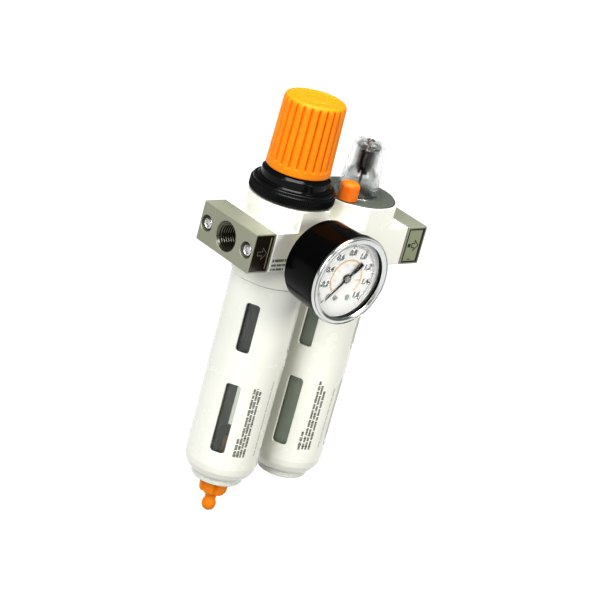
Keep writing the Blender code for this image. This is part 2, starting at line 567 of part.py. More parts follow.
sector_axis = axis_at("axis_sector", (FILTER_X + SX, -37.6, GAUGE_Y + SY))
step = math.tau / SECTOR_Z
arc = teeth(TO_SECTOR - math.pi, 11, SECTOR_R, -8.5 * step, SECTOR_Z)
plate_pts = [(r * math.cos(a), r * math.sin(a)) for a, r in arc]
last, first = arc[-1][0], arc[0][0]
plate_pts += [(8.6 * math.cos(last), 8.6 * math.sin(last)), (1.9 * math.cos(last + 1.0), 1.9 * math.sin(last + 1.0)),
              (1.9 * math.cos(last + 2.2), 1.9 * math.sin(last + 2.2)), (1.9 * math.cos(first - 2.2), 1.9 * math.sin(first - 2.2)),
              (1.9 * math.cos(first - 1.0), 1.9 * math.sin(first - 1.0)), (8.6 * math.cos(first), 8.6 * math.sin(first))]
S_AT = (FILTER_X + SX, -37.6, GAUGE_Y + SY)
sector = put("gauge_sector", prism(plate_pts, 0.1, 0.9), S_AT, "front", BRASS, 0.35, 1.0, parent=sector_axis)
TAIL = math.radians(120.0)
tx, ty = math.cos(TAIL), math.sin(TAIL)
shape(sector, prism([(-0.9 * ty, 0.9 * tx), (0.9 * ty, -0.9 * tx), (3.6 * tx + 0.9 * ty, 3.6 * ty - 0.9 * tx),
                     (3.6 * tx - 0.9 * ty, 3.6 * ty + 0.9 * tx)], 0.1, 0.9), S_AT, "front", op="UNION")
shape(sector, rod(0.8, -1.2, 3.1, 10), S_AT, "front", op="UNION")
LX, LY = SX + 2.8 * tx, SY + 2.8 * ty
link_axis = axis_at("axis_link", (FILTER_X + LX, -39.0, GAUGE_Y + LY), sector_axis)
TUBE_R = 15.6
ex, ey = -TUBE_R * 0.985 - LX, -0.6 - LY
el = math.hypot(ex, ey)
ux, uy = ex / el, ey / el
bar = [(-1.1 * ux - 0.8 * uy, -1.1 * uy + 0.8 * ux), (-1.1 * ux + 0.8 * uy, -1.1 * uy - 0.8 * ux),
       (ex + 1.0 * ux + 0.8 * uy, ey + 1.0 * uy - 0.8 * ux), (ex + 1.0 * ux - 0.8 * uy, ey + 1.0 * uy + 0.8 * ux)]
put("gauge_link", prism(bar, 0.0, 0.6), (FILTER_X + LX, -39.0, GAUGE_Y + LY), "front", BRASS, 0.35, 1.0, parent=link_axis)

bourdon = []
for k in range(25):
    a = math.radians(-74.0 + 252.0 * k / 24.0)
    bourdon.append((FILTER_X + TUBE_R * math.cos(a), -37.4, GAUGE_Y + TUBE_R * math.sin(a)))
wire("bourdon_tube", bourdon, 1.1, BRASS, 0.3, 1.0, sides=1)
movement = put("gauge_movement", prism([(-13.2, -10.2), (-10.2, -13.2), (4.2, -6.0), (6.0, 4.2), (-6.0, 4.2)], 34.6, 35.6), G,
               "front", BRASS, 0.35, 1.0)
shape(movement, prism([(-11.6, -9.4), (-9.4, -11.6), (3.2, -6.0), (5.0, 3.2), (-5.0, 3.2)], 41.2, 42.2), G, "front", op="UNION")
for px, py in ((3.4, -4.6), (-3.6, 2.6), (3.6, 2.6)):
    shape(movement, rod(0.8, 34.9, 41.9, 8), (FILTER_X + px, 0, GAUGE_Y + py), "front", op="UNION")
shape(movement, rod(1.1, 33, 43, 10), G, "front")
shape(movement, rod(1.2, 35.8, 43, 10), (FILTER_X + SX, 0, GAUGE_Y + SY), "front")
plug = [(0, 10.4), (4.2, 10.4), (4.6, 10.9), (4.6, 18.2), (4.1, 18.7), (0, 18.7)]
rear_plug = put("rear_port_plug", lathe(plug, 14), G, "back", STEEL, 0.35, 1.0)
shape(rear_plug, rod(2.9, 15.0, 20, 6), G, "back")

# ---- lubricator head -----------------------------------------------------------------
cover = put("lubricator_cover", lathe([(6.0, 17.6), (18.2, 17.6), (18.2, 19.2), (17.9, 19.5), (6.0, 19.5)], 30), (LUB_X, 0, 0), "up",
            COVER, 0.6)
shape(cover, rod(2.8, 16, 21, 10), (PLUG_X, PLUG_Y, 0))
shape(cover, rod(1.9, 16, 21, 8), (LUB_X, 9.6, 0))
dome = [(9.9, 19.8), (9.9, 20.8), (9.4, 21.4), (8.9, 30.0), (8.2, 40.0), (7.4, 43.0), (5.9, 44.9), (3.8, 45.7), (2.5, 45.7),
        (2.5, 44.7), (5.0, 43.9), (6.5, 42.2), (7.2, 39.6), (8.0, 29.6), (8.5, 21.2), (8.8, 19.8)]
put("sight_dome", lathe(dome, 18), (LUB_X, 0, 0), "up", CLEAR, 0.05, alpha=0.3)
tube = [(7.4, 19.8), (7.4, 28.4), (5.9, 31.0), (5.9, 41.0), (5.2, 42.2), (2.7, 42.5), (2.7, 41.4), (4.7, 40.6),
        (4.7, 30.7), (6.3, 28.2), (6.3, 19.8)]
put("drip_tube", lathe(tube, 18), (LUB_X, 0, 0), "up", CLEAR, 0.05, alpha=0.3)
put("drip_sleeve", lathe([(1.5, 30.6), (3.6, 30.6), (3.6, 40.2), (1.5, 40.2)], 12), (LUB_X, 0, 0), "up", (0.07, 0.02, 0.01), 0.2)
drip_axis = axis_at("axis_drip_needle", (LUB_X, 0, 43.2))
needle_shape = [(0, 24.0), (0.5, 25.0), (0.9, 28.0), (0.9, 43.2), (2.1, 43.2), (2.1, 45.2), (1.8, 45.5), (0, 45.5)]
drip = put("drip_needle", lathe([(r, z - 43.2) for r, z in needle_shape], 10), (LUB_X, 0, 43.2), "up", BRASS, 0.3, 1.0, parent=drip_axis)
shape(drip, box(-0.3, 0.3, -3, 3, 44.8, 46), (LUB_X, 0, 0))

plug_axis = axis_at("axis_fill_plug", (PLUG_X, PLUG_Y, 19.8))


def hex_ring(flat_r, z, turn=0.0, n=24):
    """Softened hexagon; flat_r is half the width across flats."""
    pts = []
    for k in range(n):
        a = math.tau * k / n
        local = (a % (math.pi / 3.0)) - math.pi / 6.0
        r = min(flat_r / math.cos(local), flat_r * 1.08)
        pts.append((r * math.cos(a + turn), r * math.sin(a + turn), z))
    return pts


plug_rings = [hex_ring(4.2, 0.0), hex_ring(4.3, 0.4), hex_ring(4.2, 6.8), hex_ring(3.9, 7.8), hex_ring(2.8, 8.3)]
fill = put("oil_fill_plug", loft(plug_rings), (PLUG_X, PLUG_Y, 19.8), "up", ORANGE, 0.35, parent=plug_axis)
shape(fill, rod(2.3, 9.0, 20.2, 10), (PLUG_X, PLUG_Y, 0), op="UNION")

siphon = []
for k in range(16):
    z = 16.0 - 120.0 * k / 15.0
    share = min(1.0, max(0.0, (-20.0 - z) / 60.0))
    share = share * share * (3.0 - 2.0 * share)
    siphon.append((LUB_X + 1.5 * share, 9.6 - 5.6 * share, z))
wire("siphon_tube", siphon, 1.4, (0.8, 0.8, 0.76), 0.3, sides=1)
put("siphon_strainer", lathe([(0, -112.0), (2.6, -112.0), (3.0, -111.5), (3.0, -104.4), (0, -104.4)], 14),
    (LUB_X + 1.5, 4.0, 0), "up", (0.3, 0.3, 0.28), 0.6)
venturi = [(2.6, -5.0), (4.2, -8.0), (4.7, -8.0), (4.7, 8.0), (4.2, 8.0), (2.6, 5.0)]
insert = put("venturi_insert", lathe(venturi, 14), (LUB_X, 0, 0), "right", BRASS, 0.35, 1.0)
shape(insert, rod(1.0, 0, 6, 10), (LUB_X, 0, 0))
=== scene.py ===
"""Looks of the compressed-air filter-regulator and lubricator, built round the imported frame."""

import json
import math
import random

import bmesh
import bpy
from mathutils import Matrix, Vector
from mathutils.geometry import delaunay_2d_cdt


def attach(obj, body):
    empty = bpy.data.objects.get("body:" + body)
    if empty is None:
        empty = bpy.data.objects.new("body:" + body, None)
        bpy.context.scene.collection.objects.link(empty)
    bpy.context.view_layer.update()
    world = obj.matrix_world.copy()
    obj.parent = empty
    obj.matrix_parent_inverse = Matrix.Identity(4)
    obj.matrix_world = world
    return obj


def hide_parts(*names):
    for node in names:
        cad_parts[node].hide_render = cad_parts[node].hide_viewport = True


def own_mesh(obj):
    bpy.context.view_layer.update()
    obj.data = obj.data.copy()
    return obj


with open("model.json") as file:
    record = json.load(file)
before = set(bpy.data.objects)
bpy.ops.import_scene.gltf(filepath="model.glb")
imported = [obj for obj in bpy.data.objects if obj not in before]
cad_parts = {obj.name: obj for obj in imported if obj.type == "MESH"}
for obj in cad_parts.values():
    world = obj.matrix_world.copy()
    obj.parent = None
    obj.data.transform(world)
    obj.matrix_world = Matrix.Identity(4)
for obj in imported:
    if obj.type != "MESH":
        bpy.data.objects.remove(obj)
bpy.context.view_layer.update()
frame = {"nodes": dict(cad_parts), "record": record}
NODES = frame["nodes"]
MM = 0.001
TAU = math.tau
FX, LX, XMAX = 32.0, 72.0, 104.0
scene = bpy.context.scene

# =====================================================================================
# materials: everything is built from noise in the piece's own coordinates
# =====================================================================================


class Graph:
    def __init__(self, name):
        self.mat = bpy.data.materials.new(name)
        self.mat.use_nodes = True
        self.nodes = self.mat.node_tree.nodes
        self.links = self.mat.node_tree.links
        self.shader = self.nodes["Principled BSDF"]
        self.coord = self.nodes.new("ShaderNodeTexCoord").outputs["Object"]

    def set(self, **values):
        for key, value in values.items():
            self.shader.inputs[key.replace("_", " ")].default_value = value

    def link(self, a, b):
        self.links.new(a, b)

    def stretched(self, scale):
        m = self.nodes.new("ShaderNodeMapping")
        m.inputs["Scale"].default_value = scale
        self.link(self.coord, m.inputs["Vector"])
        return m.outputs["Vector"]

    def noise(self, scale, detail=3.0, rough=0.55, vector=None, distortion=0.0):
        n = self.nodes.new("ShaderNodeTexNoise")
        n.inputs["Scale"].default_value = scale
        n.inputs["Detail"].default_value = detail
        n.inputs["Roughness"].default_value = rough
        n.inputs["Distortion"].default_value = distortion
        self.link(vector or self.coord, n.inputs["Vector"])
        return n.outputs["Fac"]

    def cells(self, scale, vector=None, feature="F1"):
        n = self.nodes.new("ShaderNodeTexVoronoi")
        n.feature = feature
        n.inputs["Scale"].default_value = scale
        self.link(vector or self.coord, n.inputs["Vector"])
        return n.outputs["Distance"]

    def ramp(self, fac, stops):
        n = self.nodes.new("ShaderNodeValToRGB")
        e = n.color_ramp.elements
        while len(e) < len(stops):
            e.new(0.5)
        for item, (at, color) in zip(e, stops):
            item.position = at
            item.color = (*color, 1.0)
        self.link(fac, n.inputs["Fac"])
        return n.outputs["Color"]

    def span(self, fac, low, high, a=0.3, b=0.7):
        n = self.nodes.new("ShaderNodeMapRange")
        n.inputs["From Min"].default_value = a
        n.inputs["From Max"].default_value = b
        n.inputs["To Min"].default_value = low
        n.inputs["To Max"].default_value = high
        self.link(fac, n.inputs["Value"])
        return n.outputs["Result"]

    def bump(self, height, strength, distance, under=None):
        n = self.nodes.new("ShaderNodeBump")
        n.inputs["Strength"].default_value = strength
        n.inputs["Distance"].default_value = distance
        self.link(height, n.inputs["Height"])
        if under is not None:
            self.link(under, n.inputs["Normal"])
        return n.outputs["Normal"]

    def finish(self, color=None, rough=None, normal=None):
        if color is not None:
            self.link(color, self.shader.inputs["Base Color"])
        if rough is not None:
            self.link(rough, self.shader.inputs["Roughness"])
        if normal is not None:
            self.link(normal, self.shader.inputs["Normal"])
        return self.mat


def shade(color, k):
    return tuple(min(1.0, c * k) for c in color)


def coated(name, color, rough, peel=0.06, speck=0.02, coat=0.0, metal=0.0, tone=0.05, peel_scale=420.0, spec=0.5):
    """Paint or moulded plastic: soft tone drift, faint orange peel, uneven gloss."""
    g = Graph(name)
    g.set(Metallic=metal, Coat_Weight=coat, Coat_Roughness=0.08, Specular_IOR_Level=spec)
    drift = g.noise(26.0, 4.0)
    fine = g.noise(peel_scale, 3.0)
    tint = g.ramp(drift, [(0.3, shade(color, 1.0 - tone)), (0.55, color), (0.75, shade(color, 1.0 + tone * 0.6))])
    gloss = g.span(g.noise(90.0, 5.0), rough * 0.8, rough * 1.25)
    normal = g.bump(fine, peel, 0.00006)
    if speck:
        normal = g.bump(g.noise(2600.0, 2.0), speck, 0.00002, normal)
    return g.finish(tint, gloss, normal)


def cast_metal(name, color, rough, metal):
    """Blasted and lacquered die casting: fine grain with faint sparkle."""
    g = Graph(name)
    g.set(Metallic=metal, Specular_IOR_Level=0.5)
    grain = g.noise(1500.0, 4.0, 0.7)
    drift = g.noise(35.0, 4.0)
    base = g.ramp(drift, [(0.3, shade(color, 0.93)), (0.7, shade(color, 1.05))])
    spots = g.ramp(grain, [(0.35, (0.86, 0.86, 0.86)), (0.65, (1.0, 1.0, 1.0))])
    mix = g.nodes.new("ShaderNodeMix")
    mix.data_type = "RGBA"
    mix.blend_type = "MULTIPLY"
    mix.inputs[0].default_value = 0.55
    g.link(base, mix.inputs[6])
    g.link(spots, mix.inputs[7])
    gloss = g.span(grain, rough * 0.85, rough * 1.2)
    normal = g.bump(grain, 0.16, 0.00005)
    return g.finish(mix.outputs[2], gloss, normal)


def turned_metal(name, color, rough, across=(1.0, 1.0, 1.0), lines=2200.0, depth=0.1):
    """Machined or plated metal with fine tool lines."""
    g = Graph(name)
    g.set(Metallic=1.0)
    v = g.stretched(across)
    lay = g.noise(lines, 2.0, 0.6, v)
    drift = g.noise(60.0, 4.0)
    tint = g.ramp(drift, [(0.3, shade(color, 0.88)), (0.7, shade(color, 1.06))])
    gloss = g.span(g.noise(260.0, 5.0), rough * 0.7, rough * 1.4)
    return g.finish(tint, gloss, g.bump(lay, depth, 0.00003))


def clear(name, color, rough, ior=1.5, wobble=0.04, wave=60.0, haze=0.02, alpha=1.0, through=1.0):
    """Clear moulding: faint flow marks and fine scuffs."""
    g = Graph(name)
    g.set(Metallic=0.0, IOR=ior, Transmission_Weight=through, Alpha=alpha)
    flow = g.noise(wave, 2.0)
    tint = g.ramp(g.noise(40.0, 3.0), [(0.3, shade(color, 0.97)), (0.7, color)])
    gloss = g.span(g.noise(700.0, 5.0), rough, rough + haze)
    return g.finish(tint, gloss, g.bump(flow, wobble, 0.0004))


def rubber(name, color):
    g = Graph(name)
    g.set(Specular_IOR_Level=0.3)
    bloom = g.noise(220.0, 5.0)
    tint = g.ramp(bloom, [(0.35, color), (0.75, shade(color, 2.2))])
    return g.finish(tint, g.span(bloom, 0.55, 0.8), g.bump(g.noise(1800.0), 0.15, 0.00004))


def sintered(name, color):
    """Pressed granules."""
    g = Graph(name)
    g.set(Specular_IOR_Level=0.25)
    grains = g.cells(2600.0)
    tint = g.ramp(grains, [(0.1, shade(color, 1.5)), (0.6, shade(color, 0.5))])
    return g.finish(tint, g.span(grains, 0.7, 0.95, 0.0, 0.6), g.bump(grains, 0.7, 0.00012))


def grained(name, color, rough, scale=1500.0, depth=0.5):
    """Moulded plastic with a fine leather-like grain."""
    g = Graph(name)
    cells = g.cells(scale, feature="SMOOTH_F1")
    fine = g.noise(3200.0, 3.0)
    tint = g.ramp(cells, [(0.1, shade(color, 1.35)), (0.5, shade(color, 0.8))])
    normal = g.bump(cells, depth, 0.00008)
    return g.finish(tint, g.span(fine, rough * 0.8, rough * 1.2), g.bump(fine, 0.1, 0.00003, normal))


def translucent(name, color, rough, sss, transmission=0.0, coat=0.25, spec=0.5):
    g = Graph(name)
    g.set(Subsurface_Weight=sss, Subsurface_Radius=(0.004, 0.002, 0.001), Subsurface_Scale=0.6, IOR=1.5,
          Transmission_Weight=transmission, Coat_Weight=coat, Coat_Roughness=0.15, Specular_IOR_Level=spec)
    drift = g.noise(45.0, 4.0)
    tint = g.ramp(drift, [(0.3, shade(color, 0.94)), (0.7, shade(color, 1.04))])
    gloss = g.span(g.noise(150.0, 5.0), rough * 0.8, rough * 1.25)
    return g.finish(tint, gloss, g.bump(g.noise(900.0, 3.0), 0.05, 0.00005))


def printed(name, color, rough=0.5):
    g = Graph(name)
    wear = g.noise(1400.0, 5.0)
    tint = g.ramp(wear, [(0.3, shade(color, 0.85)), (0.75, shade(color, 1.25))])
    return g.finish(tint, g.span(wear, rough * 0.9, rough * 1.1), g.bump(wear, 0.08, 0.00002))


M_ENAMEL = coated("white_enamel", (0.86, 0.86, 0.80), 0.24, peel=0.05, coat=0.35, tone=0.02)
M_PLATE = cast_metal("plate_satin", (0.33, 0.336, 0.262), 0.42, 0.3)
M_THREAD = cast_metal("thread_metal", (0.13, 0.13, 0.10), 0.25, 0.9)
M_STEEL = turned_metal("plated_steel", (0.58, 0.58, 0.58), 0.26, lines=1600.0)
M_DARKSTEEL = turned_metal("spring_steel", (0.45, 0.45, 0.46), 0.3)
M_INLAY_DARK = coated("inlay_dark", (0.020, 0.016, 0.010), 0.16, peel=0.08, coat=0.5)
M_INLAY_GREEN = coated("inlay_green", (0.30, 0.33, 0.22), 0.4, peel=0.05, spec=0.3)
M_LINE_PALE = printed("inlay_line_pale", (0.28, 0.25, 0.18), 0.4)
M_LINE_FAINT = printed("inlay_line_faint", (0.16, 0.15, 0.12), 0.35)
M_LINE_BLACK = printed("inlay_line_black", (0.006, 0.007, 0.005), 0.5)
M_RUBBER = rubber("rubber", (0.014, 0.014, 0.014))
M_BLACK = coated("black_moulding", (0.005, 0.0055, 0.006), 0.15, peel=0.06, spec=0.2)
M_KNURL = coated("black_knurled", (0.005, 0.0055, 0.006), 0.26, peel=0.08, spec=0.2)
M_CASE = coated("gauge_black", (0.0015, 0.0017, 0.0016), 0.16, peel=0.02, spec=0.09)
M_ORANGE = translucent("orange_plastic", (0.89, 0.30, 0.009), 0.42, 0.22, coat=0.0, spec=0.25)
M_PLUG = translucent("orange_plug", (0.86, 0.23, 0.014), 0.36, 0.2, coat=0.1, spec=0.3)
M_BRASS = turned_metal("brass", (0.80, 0.58, 0.25), 0.26)
M_ALU = turned_metal("aluminium", (0.80, 0.81, 0.83), 0.3)
M_NATURAL = translucent("natural_plastic", (0.80, 0.79, 0.72), 0.35, 0.3)
M_MEDIA = sintered("filter_media", (0.055, 0.052, 0.048))
M_STRAINER = sintered("strainer_media", (0.30, 0.31, 0.27))
M_BOWL_L = clear("clear_bowl_pale", (0.66, 0.73, 0.62), 0.03, 1.42, 0.10, 45.0, 0.04, 1.0, 0.66)
M_BOWL = clear("clear_bowl", (0.80, 0.84, 0.78), 0.03, 1.46, 0.06, 45.0, 0.03, 1.0, 0.95)
M_FOOT = translucent("bowl_foot", (0.84, 0.86, 0.80), 0.3, 0.4, 0.1)
M_SHELL = clear("clear_dome", (0.90, 0.91, 0.90), 0.0, 1.12, 0.01, 50.0, 0.005, 0.45)
M_DOME = clear("clear_tube", (0.80, 0.81, 0.80), 0.0, 1.45, 0.01, 50.0, 0.003, 0.8)
M_LENS = clear("lens_clear", (0.99, 0.995, 0.99), 0.0, 1.46, 0.01, 30.0, 0.01, 0.08)
M_BEZEL = turned_metal("bezel_bright", (0.66, 0.67, 0.66), 0.19, lines=1200.0, depth=0.03)
M_DIAL = coated("dial_white", (0.97, 0.97, 0.96), 0.45, peel=0.03, tone=0.01)
M_DIAL_BLACK = printed("dial_black", (0.003, 0.003, 0.004), 0.7)
M_DIAL_PEACH = printed("dial_peach", (0.80, 0.57, 0.33))
M_NEEDLE = coated("needle_black", (0.003, 0.003, 0.003), 0.4, spec=0.1)
M_HUB = turned_metal("needle_hub", (0.36, 0.36, 0.34), 0.28)
M_RIVET = turned_metal("dial_rivet", (0.40, 0.42, 0.38), 0.35)
M_COVER = grained("cover_grey", (0.105, 0.116, 0.10), 0.5)
M_AMBER = coated("amber_sleeve", (0.012, 0.004, 0.002), 0.2, peel=0.04, spec=0.2)
M_PRINT = printed("print_green_grey", (0.075, 0.085, 0.07))
M_PRINT_PALE = printed("print_pale", (0.50, 0.49, 0.46))
M_RING = turned_metal("dome_ring", (0.82, 0.83, 0.82), 0.16)

SLOT_MATERIAL = {
    "white_enamel": M_ENAMEL, "plate_satin": M_PLATE, "steel": M_STEEL, "inlay_dark": M_INLAY_DARK,
    "inlay_green": M_INLAY_GREEN, "rubber": M_RUBBER, "black_plastic": M_BLACK, "gauge_black": M_CASE,
    "orange_plastic": M_ORANGE, "orange_plug": M_PLUG, "brass": M_BRASS, "pressed_aluminium": M_ALU,
    "natural_plastic": M_NATURAL, "filter_media": M_MEDIA, "clear_bowl": M_BOWL, "clear_dome": M_DOME,
    "lens_clear": M_LENS, "bezel_bright": M_BEZEL, "dial_white": M_DIAL, "needle_black": M_NEEDLE,
    "cover_grey": M_COVER, "amber_sleeve": M_AMBER,
}
for row in frame["record"]["subparts"]:
    node = NODES[row["node"]]
    finish = SLOT_MATERIAL[row["material_slot"]]
    if not node.material_slots:
        node.data.materials.append(finish)
    for slot in node.material_slots:
        slot.material = finish

# =====================================================================================
# mesh helpers, millimetres in, metres out
# =====================================================================================


def up(x=0.0, y=0.0, z=0.0):
    return Matrix.Translation((x, y, z))


def front(x=0.0, z=0.0):
    """local +Z towards the reader (-Y), local +Y up."""
    return Matrix.Translation((x, 0, z)) @ Matrix.Rotation(math.pi / 2, 4, "X")


def back(x=0.0, z=0.0):
    return Matrix.Translation((x, 0, z)) @ Matrix.Rotation(-math.pi / 2, 4, "X")


def left(x=0.0, y=0.0):
    return Matrix.Translation((x, y, 0)) @ Matrix.Rotation(-math.pi / 2, 4, "Y")


def right(x=0.0, y=0.0):
    return Matrix.Translation((x, y, 0)) @ Matrix.Rotation(math.pi / 2, 4, "Y")


def to_mesh(bm, at=None, name="m"):
    """Closed bmesh in millimetres to a mesh in world metres."""
    bmesh.ops.recalc_face_normals(bm, faces=bm.faces)
    bm.transform(Matrix.Scale(MM, 4) @ (at or Matrix.Identity(4)))
    mesh = bpy.data.meshes.new(name)
    bm.to_mesh(mesh)
    bm.free()
    return mesh


def fillet(points, radius, steps=4, turned=True, closed=True):
    """Rounds the corners of a profile. A point may carry its own radius as a third number."""
    out = []
    n = len(points)
    for i, item in enumerate(points):
        p = Vector(item[:2])
        r = item[2] if len(item) > 2 else radius
        a, b = Vector(points[i - 1][:2]), Vector(points[(i + 1) % n][:2])
        da, db = a - p, b - p
        if r <= 0 or da.length < 1e-9 or db.length < 1e-9 or (turned and p.x < 1e-6) or (not closed and i in (0, n - 1)):
            out.append(p)
            continue
        la, lb = da.length, db.length
        da.normalize()
        db.normalize()
        angle = da.angle(db)
        if angle > math.pi - 0.1:
            out.append(p)
            continue
        t = min(r / math.tan(angle / 2), 0.48 * la, 0.48 * lb)
        rr = t * math.tan(angle / 2)
        c = p + (da + db).normalized() * (rr / math.sin(angle / 2))
        va, vb = p + da * t - c, p + db * t - c
        sweep = math.atan2(va.x * vb.y - va.y * vb.x, va.dot(vb))
        for k in range(steps + 1):
            s, q = math.sin(sweep * k / steps), math.cos(sweep * k / steps)
            out.append(c + Vector((va.x * q - va.y * s, va.x * s + va.y * q)))
    return [(p.x, p.y) for p in out]


def lathe(profile, segs=96, at=None, radius=0.0, steps=4, wave=None):
    """Closed profile (r, z) turned about local Z. wave(angle, r, z) may move a point's radius."""
    pts = fillet(profile, radius, steps) if radius or any(len(p) > 2 for p in profile) else [p[:2] for p in profile]
    bm = bmesh.new()
    rings = []
    for r, z in pts:
        if r < 1e-6:
            rings.append([bm.verts.new((0, 0, z))])
            continue
        ring = []
        for k in range(segs):
            a = TAU * k / segs
            q = wave(a, r, z) if wave else r
            ring.append(bm.verts.new((q * math.cos(a), q * math.sin(a), z)))
        rings.append(ring)
    count = len(rings)
    for i in range(count):
        low, high = rings[i], rings[(i + 1) % count]
        if len(low) == 1 and len(high) == 1:
            continue
        for k in range(segs):
            n = (k + 1) % segs
            if len(low) == 1:
                bm.faces.new((low[0], high[n], high[k]))
            elif len(high) == 1:
                bm.faces.new((low[k], low[n], high[0]))
            else:
                bm.faces.new((low[k], low[n], high[n], high[k]))
    return to_mesh(bm, at)


def inset(points, d):
    """Moves each corner of a closed outline inwards by d."""
    area = sum(points[i - 1][0] * points[i][1] - points[i][0] * points[i - 1][1] for i in range(len(points)))
    side = 1.0 if area > 0 else -1.0
    out = []
    n = len(points)
    for i in range(n):
        p, a, b = Vector(points[i]), Vector(points[i - 1]), Vector(points[(i + 1) % n])
        u, v = (p - a), (b - p)
        if u.length < 1e-9:
            u = v
        if v.length < 1e-9:
            v = u
        u, v = u.normalized(), v.normalized()
        nu, nv = Vector((-u.y, u.x)) * side, Vector((-v.y, v.x)) * side
        m = nu + nv
        k = m.dot(nu)
        m = m * (1.0 / k if k > 0.35 else 1.0 / 0.35)
        q = p + m * d
        out.append((q.x, q.y))
    return out


def slab(outline, z0, z1, low=0.0, high=0.0, at=None, steps=4):
    """Prism with rounded lower and upper rims."""
    rings = []
    if low > 0:
        for k in range(steps + 1):
            a = math.pi / 2 * k / steps
            rings.append((low * (1 - math.sin(a)), z0 + low * (1 - math.cos(a))))
    else:
        rings.append((0.0, z0))
    if high > 0:
        for k in range(steps + 1):
            a = math.pi / 2 * k / steps
            rings.append((high * (1 - math.cos(a)), z1 - high * (1 - math.sin(a))))
    else:
        rings.append((0.0, z1))
    bm = bmesh.new()
    made = []
    for d, z in rings:
        made.append([bm.verts.new((x, y, z)) for x, y in (inset(outline, d) if d > 1e-9 else outline)])
    bm.faces.new(made[0][::-1])
    bm.faces.new(made[-1])
    n = len(outline)
    for a, b in zip(made, made[1:]):
        for i in range(n):
            j = (i + 1) % n
            bm.faces.new((a[i], a[j], b[j], b[i]))
    return to_mesh(bm, at)


def rounded_box(x0, x1, y0, y1, z0, z1, r=0.5, steps=3, at=None):
    bm = bmesh.new()
    bmesh.ops.create_cube(bm, size=1.0)
    for v in bm.verts:
        v.co = Vector(((x0 + x1) / 2 + v.co.x * (x1 - x0), (y0 + y1) / 2 + v.co.y * (y1 - y0), (z0 + z1) / 2 + v.co.z * (z1 - z0)))
    if r > 0:
        bmesh.ops.bevel(bm, geom=list(bm.edges), offset=r, segments=steps, profile=0.5, affect="EDGES")
    return to_mesh(bm, at)


def circle(r, n=48, cx=0.0, cy=0.0, phase=0.0):
    return [(cx + r * math.cos(phase + TAU * k / n), cy + r * math.sin(phase + TAU * k / n)) for k in range(n)]


def polygon(sides, across_flats, r=0.4, phase=0.0, steps=4):
    """Regular polygon with rounded corners."""
    big = across_flats / 2 / math.cos(math.pi / sides)
    return fillet(circle(big, sides, phase=phase), r, steps, turned=False)


def rect(x0, x1, y0, y1, r=0.0, steps=4):
    pts = [(x0, y0), (x1, y0), (x1, y1), (x0, y1)]
    return fillet(pts, r, steps, turned=False) if r else pts


def rod(r, z0, z1, n=48, at=None):
    return slab(circle(r, n), z0, z1, at=at)


def tube_along(points, radius, sides=16, at=None, taper=None):
    """Round bar along a smooth list of points, with domed ends."""
    pts = [Vector(p) for p in points]
    bm = bmesh.new()
    rings = []
    normal = None
    for i, p in enumerate(pts):
        t = (pts[min(i + 1, len(pts) - 1)] - pts[max(i - 1, 0)]).normalized()
        if normal is None:
            normal = t.orthogonal().normalized()
        normal = (normal - t * normal.dot(t)).normalized()
        side = t.cross(normal)
        r = taper(i / (len(pts) - 1)) if taper else radius
        rings.append((p, t, normal, side, r))
    made = []

    def ring(p, n, s, r):
        made.append([bm.verts.new(p + (n * math.cos(TAU * k / sides) + s * math.sin(TAU * k / sides)) * r) for k in range(sides)])

    p, t, n, s, r = rings[0]
    for a in (0.35, 0.8):
        ring(p - t * r * 0.35 * math.cos(a * math.pi / 2), n, s, r * math.sin(a * math.pi / 2))
    for p, t, n, s, r in rings:
        ring(p, n, s, r)
    for a in (0.8, 0.35):
        ring(p + t * r * 0.35 * math.cos(a * math.pi / 2), n, s, r * math.sin(a * math.pi / 2))
    bm.faces.new(made[0][::-1])
    bm.faces.new(made[-1])
    for a, b in zip(made, made[1:]):
        for k in range(sides):
            j = (k + 1) % sides
            bm.faces.new((a[k], a[j], b[j], b[k]))
    return to_mesh(bm, at)


def carve(base, tools, solver="MANIFOLD"):
    """Applies Booleans: tools is a list of (operation, mesh)."""
    ob = bpy.data.objects.new("carve_base", base)
    scene.collection.objects.link(ob)
    made = [ob]
    for op, mesh in tools:
        t = bpy.data.objects.new("carve_tool", mesh)
        scene.collection.objects.link(t)
        made.append(t)
        mod = ob.modifiers.new("b", "BOOLEAN")
        mod.operation = op
        mod.solver = solver
        mod.object = t
    bpy.context.view_layer.update()
    dg = bpy.context.evaluated_depsgraph_get()
    mesh = bpy.data.meshes.new_from_object(ob.evaluated_get(dg))
    for o in made:
        bpy.data.objects.remove(o, do_unlink=True)
    return mesh


def merge(meshes):
    """Separate closed shapes in one mesh."""
    bm = bmesh.new()
    for m in meshes:
        bm.from_mesh(m)
    out = bpy.data.meshes.new("merged")
    bm.to_mesh(out)
    bm.free()
    return out


def piece(name, mesh, body, material, replaces=(), angle=33.0, weighted=True):
    mesh.materials.clear()
    mesh.materials.append(material)
    ob = bpy.data.objects.new(name, mesh)
    scene.collection.objects.link(ob)
    mesh.shade_smooth()
    mesh.set_sharp_from_angle(angle=math.radians(angle))
    if weighted:
        mod = ob.modifiers.new("normals", "WEIGHTED_NORMAL")
        mod.keep_sharp = True
    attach(ob, body)
    if replaces:
        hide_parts(*([replaces] if isinstance(replaces, str) else replaces))
    return ob


CUT, ADD = "DIFFERENCE", "UNION"

# =====================================================================================
# port plates
# =====================================================================================


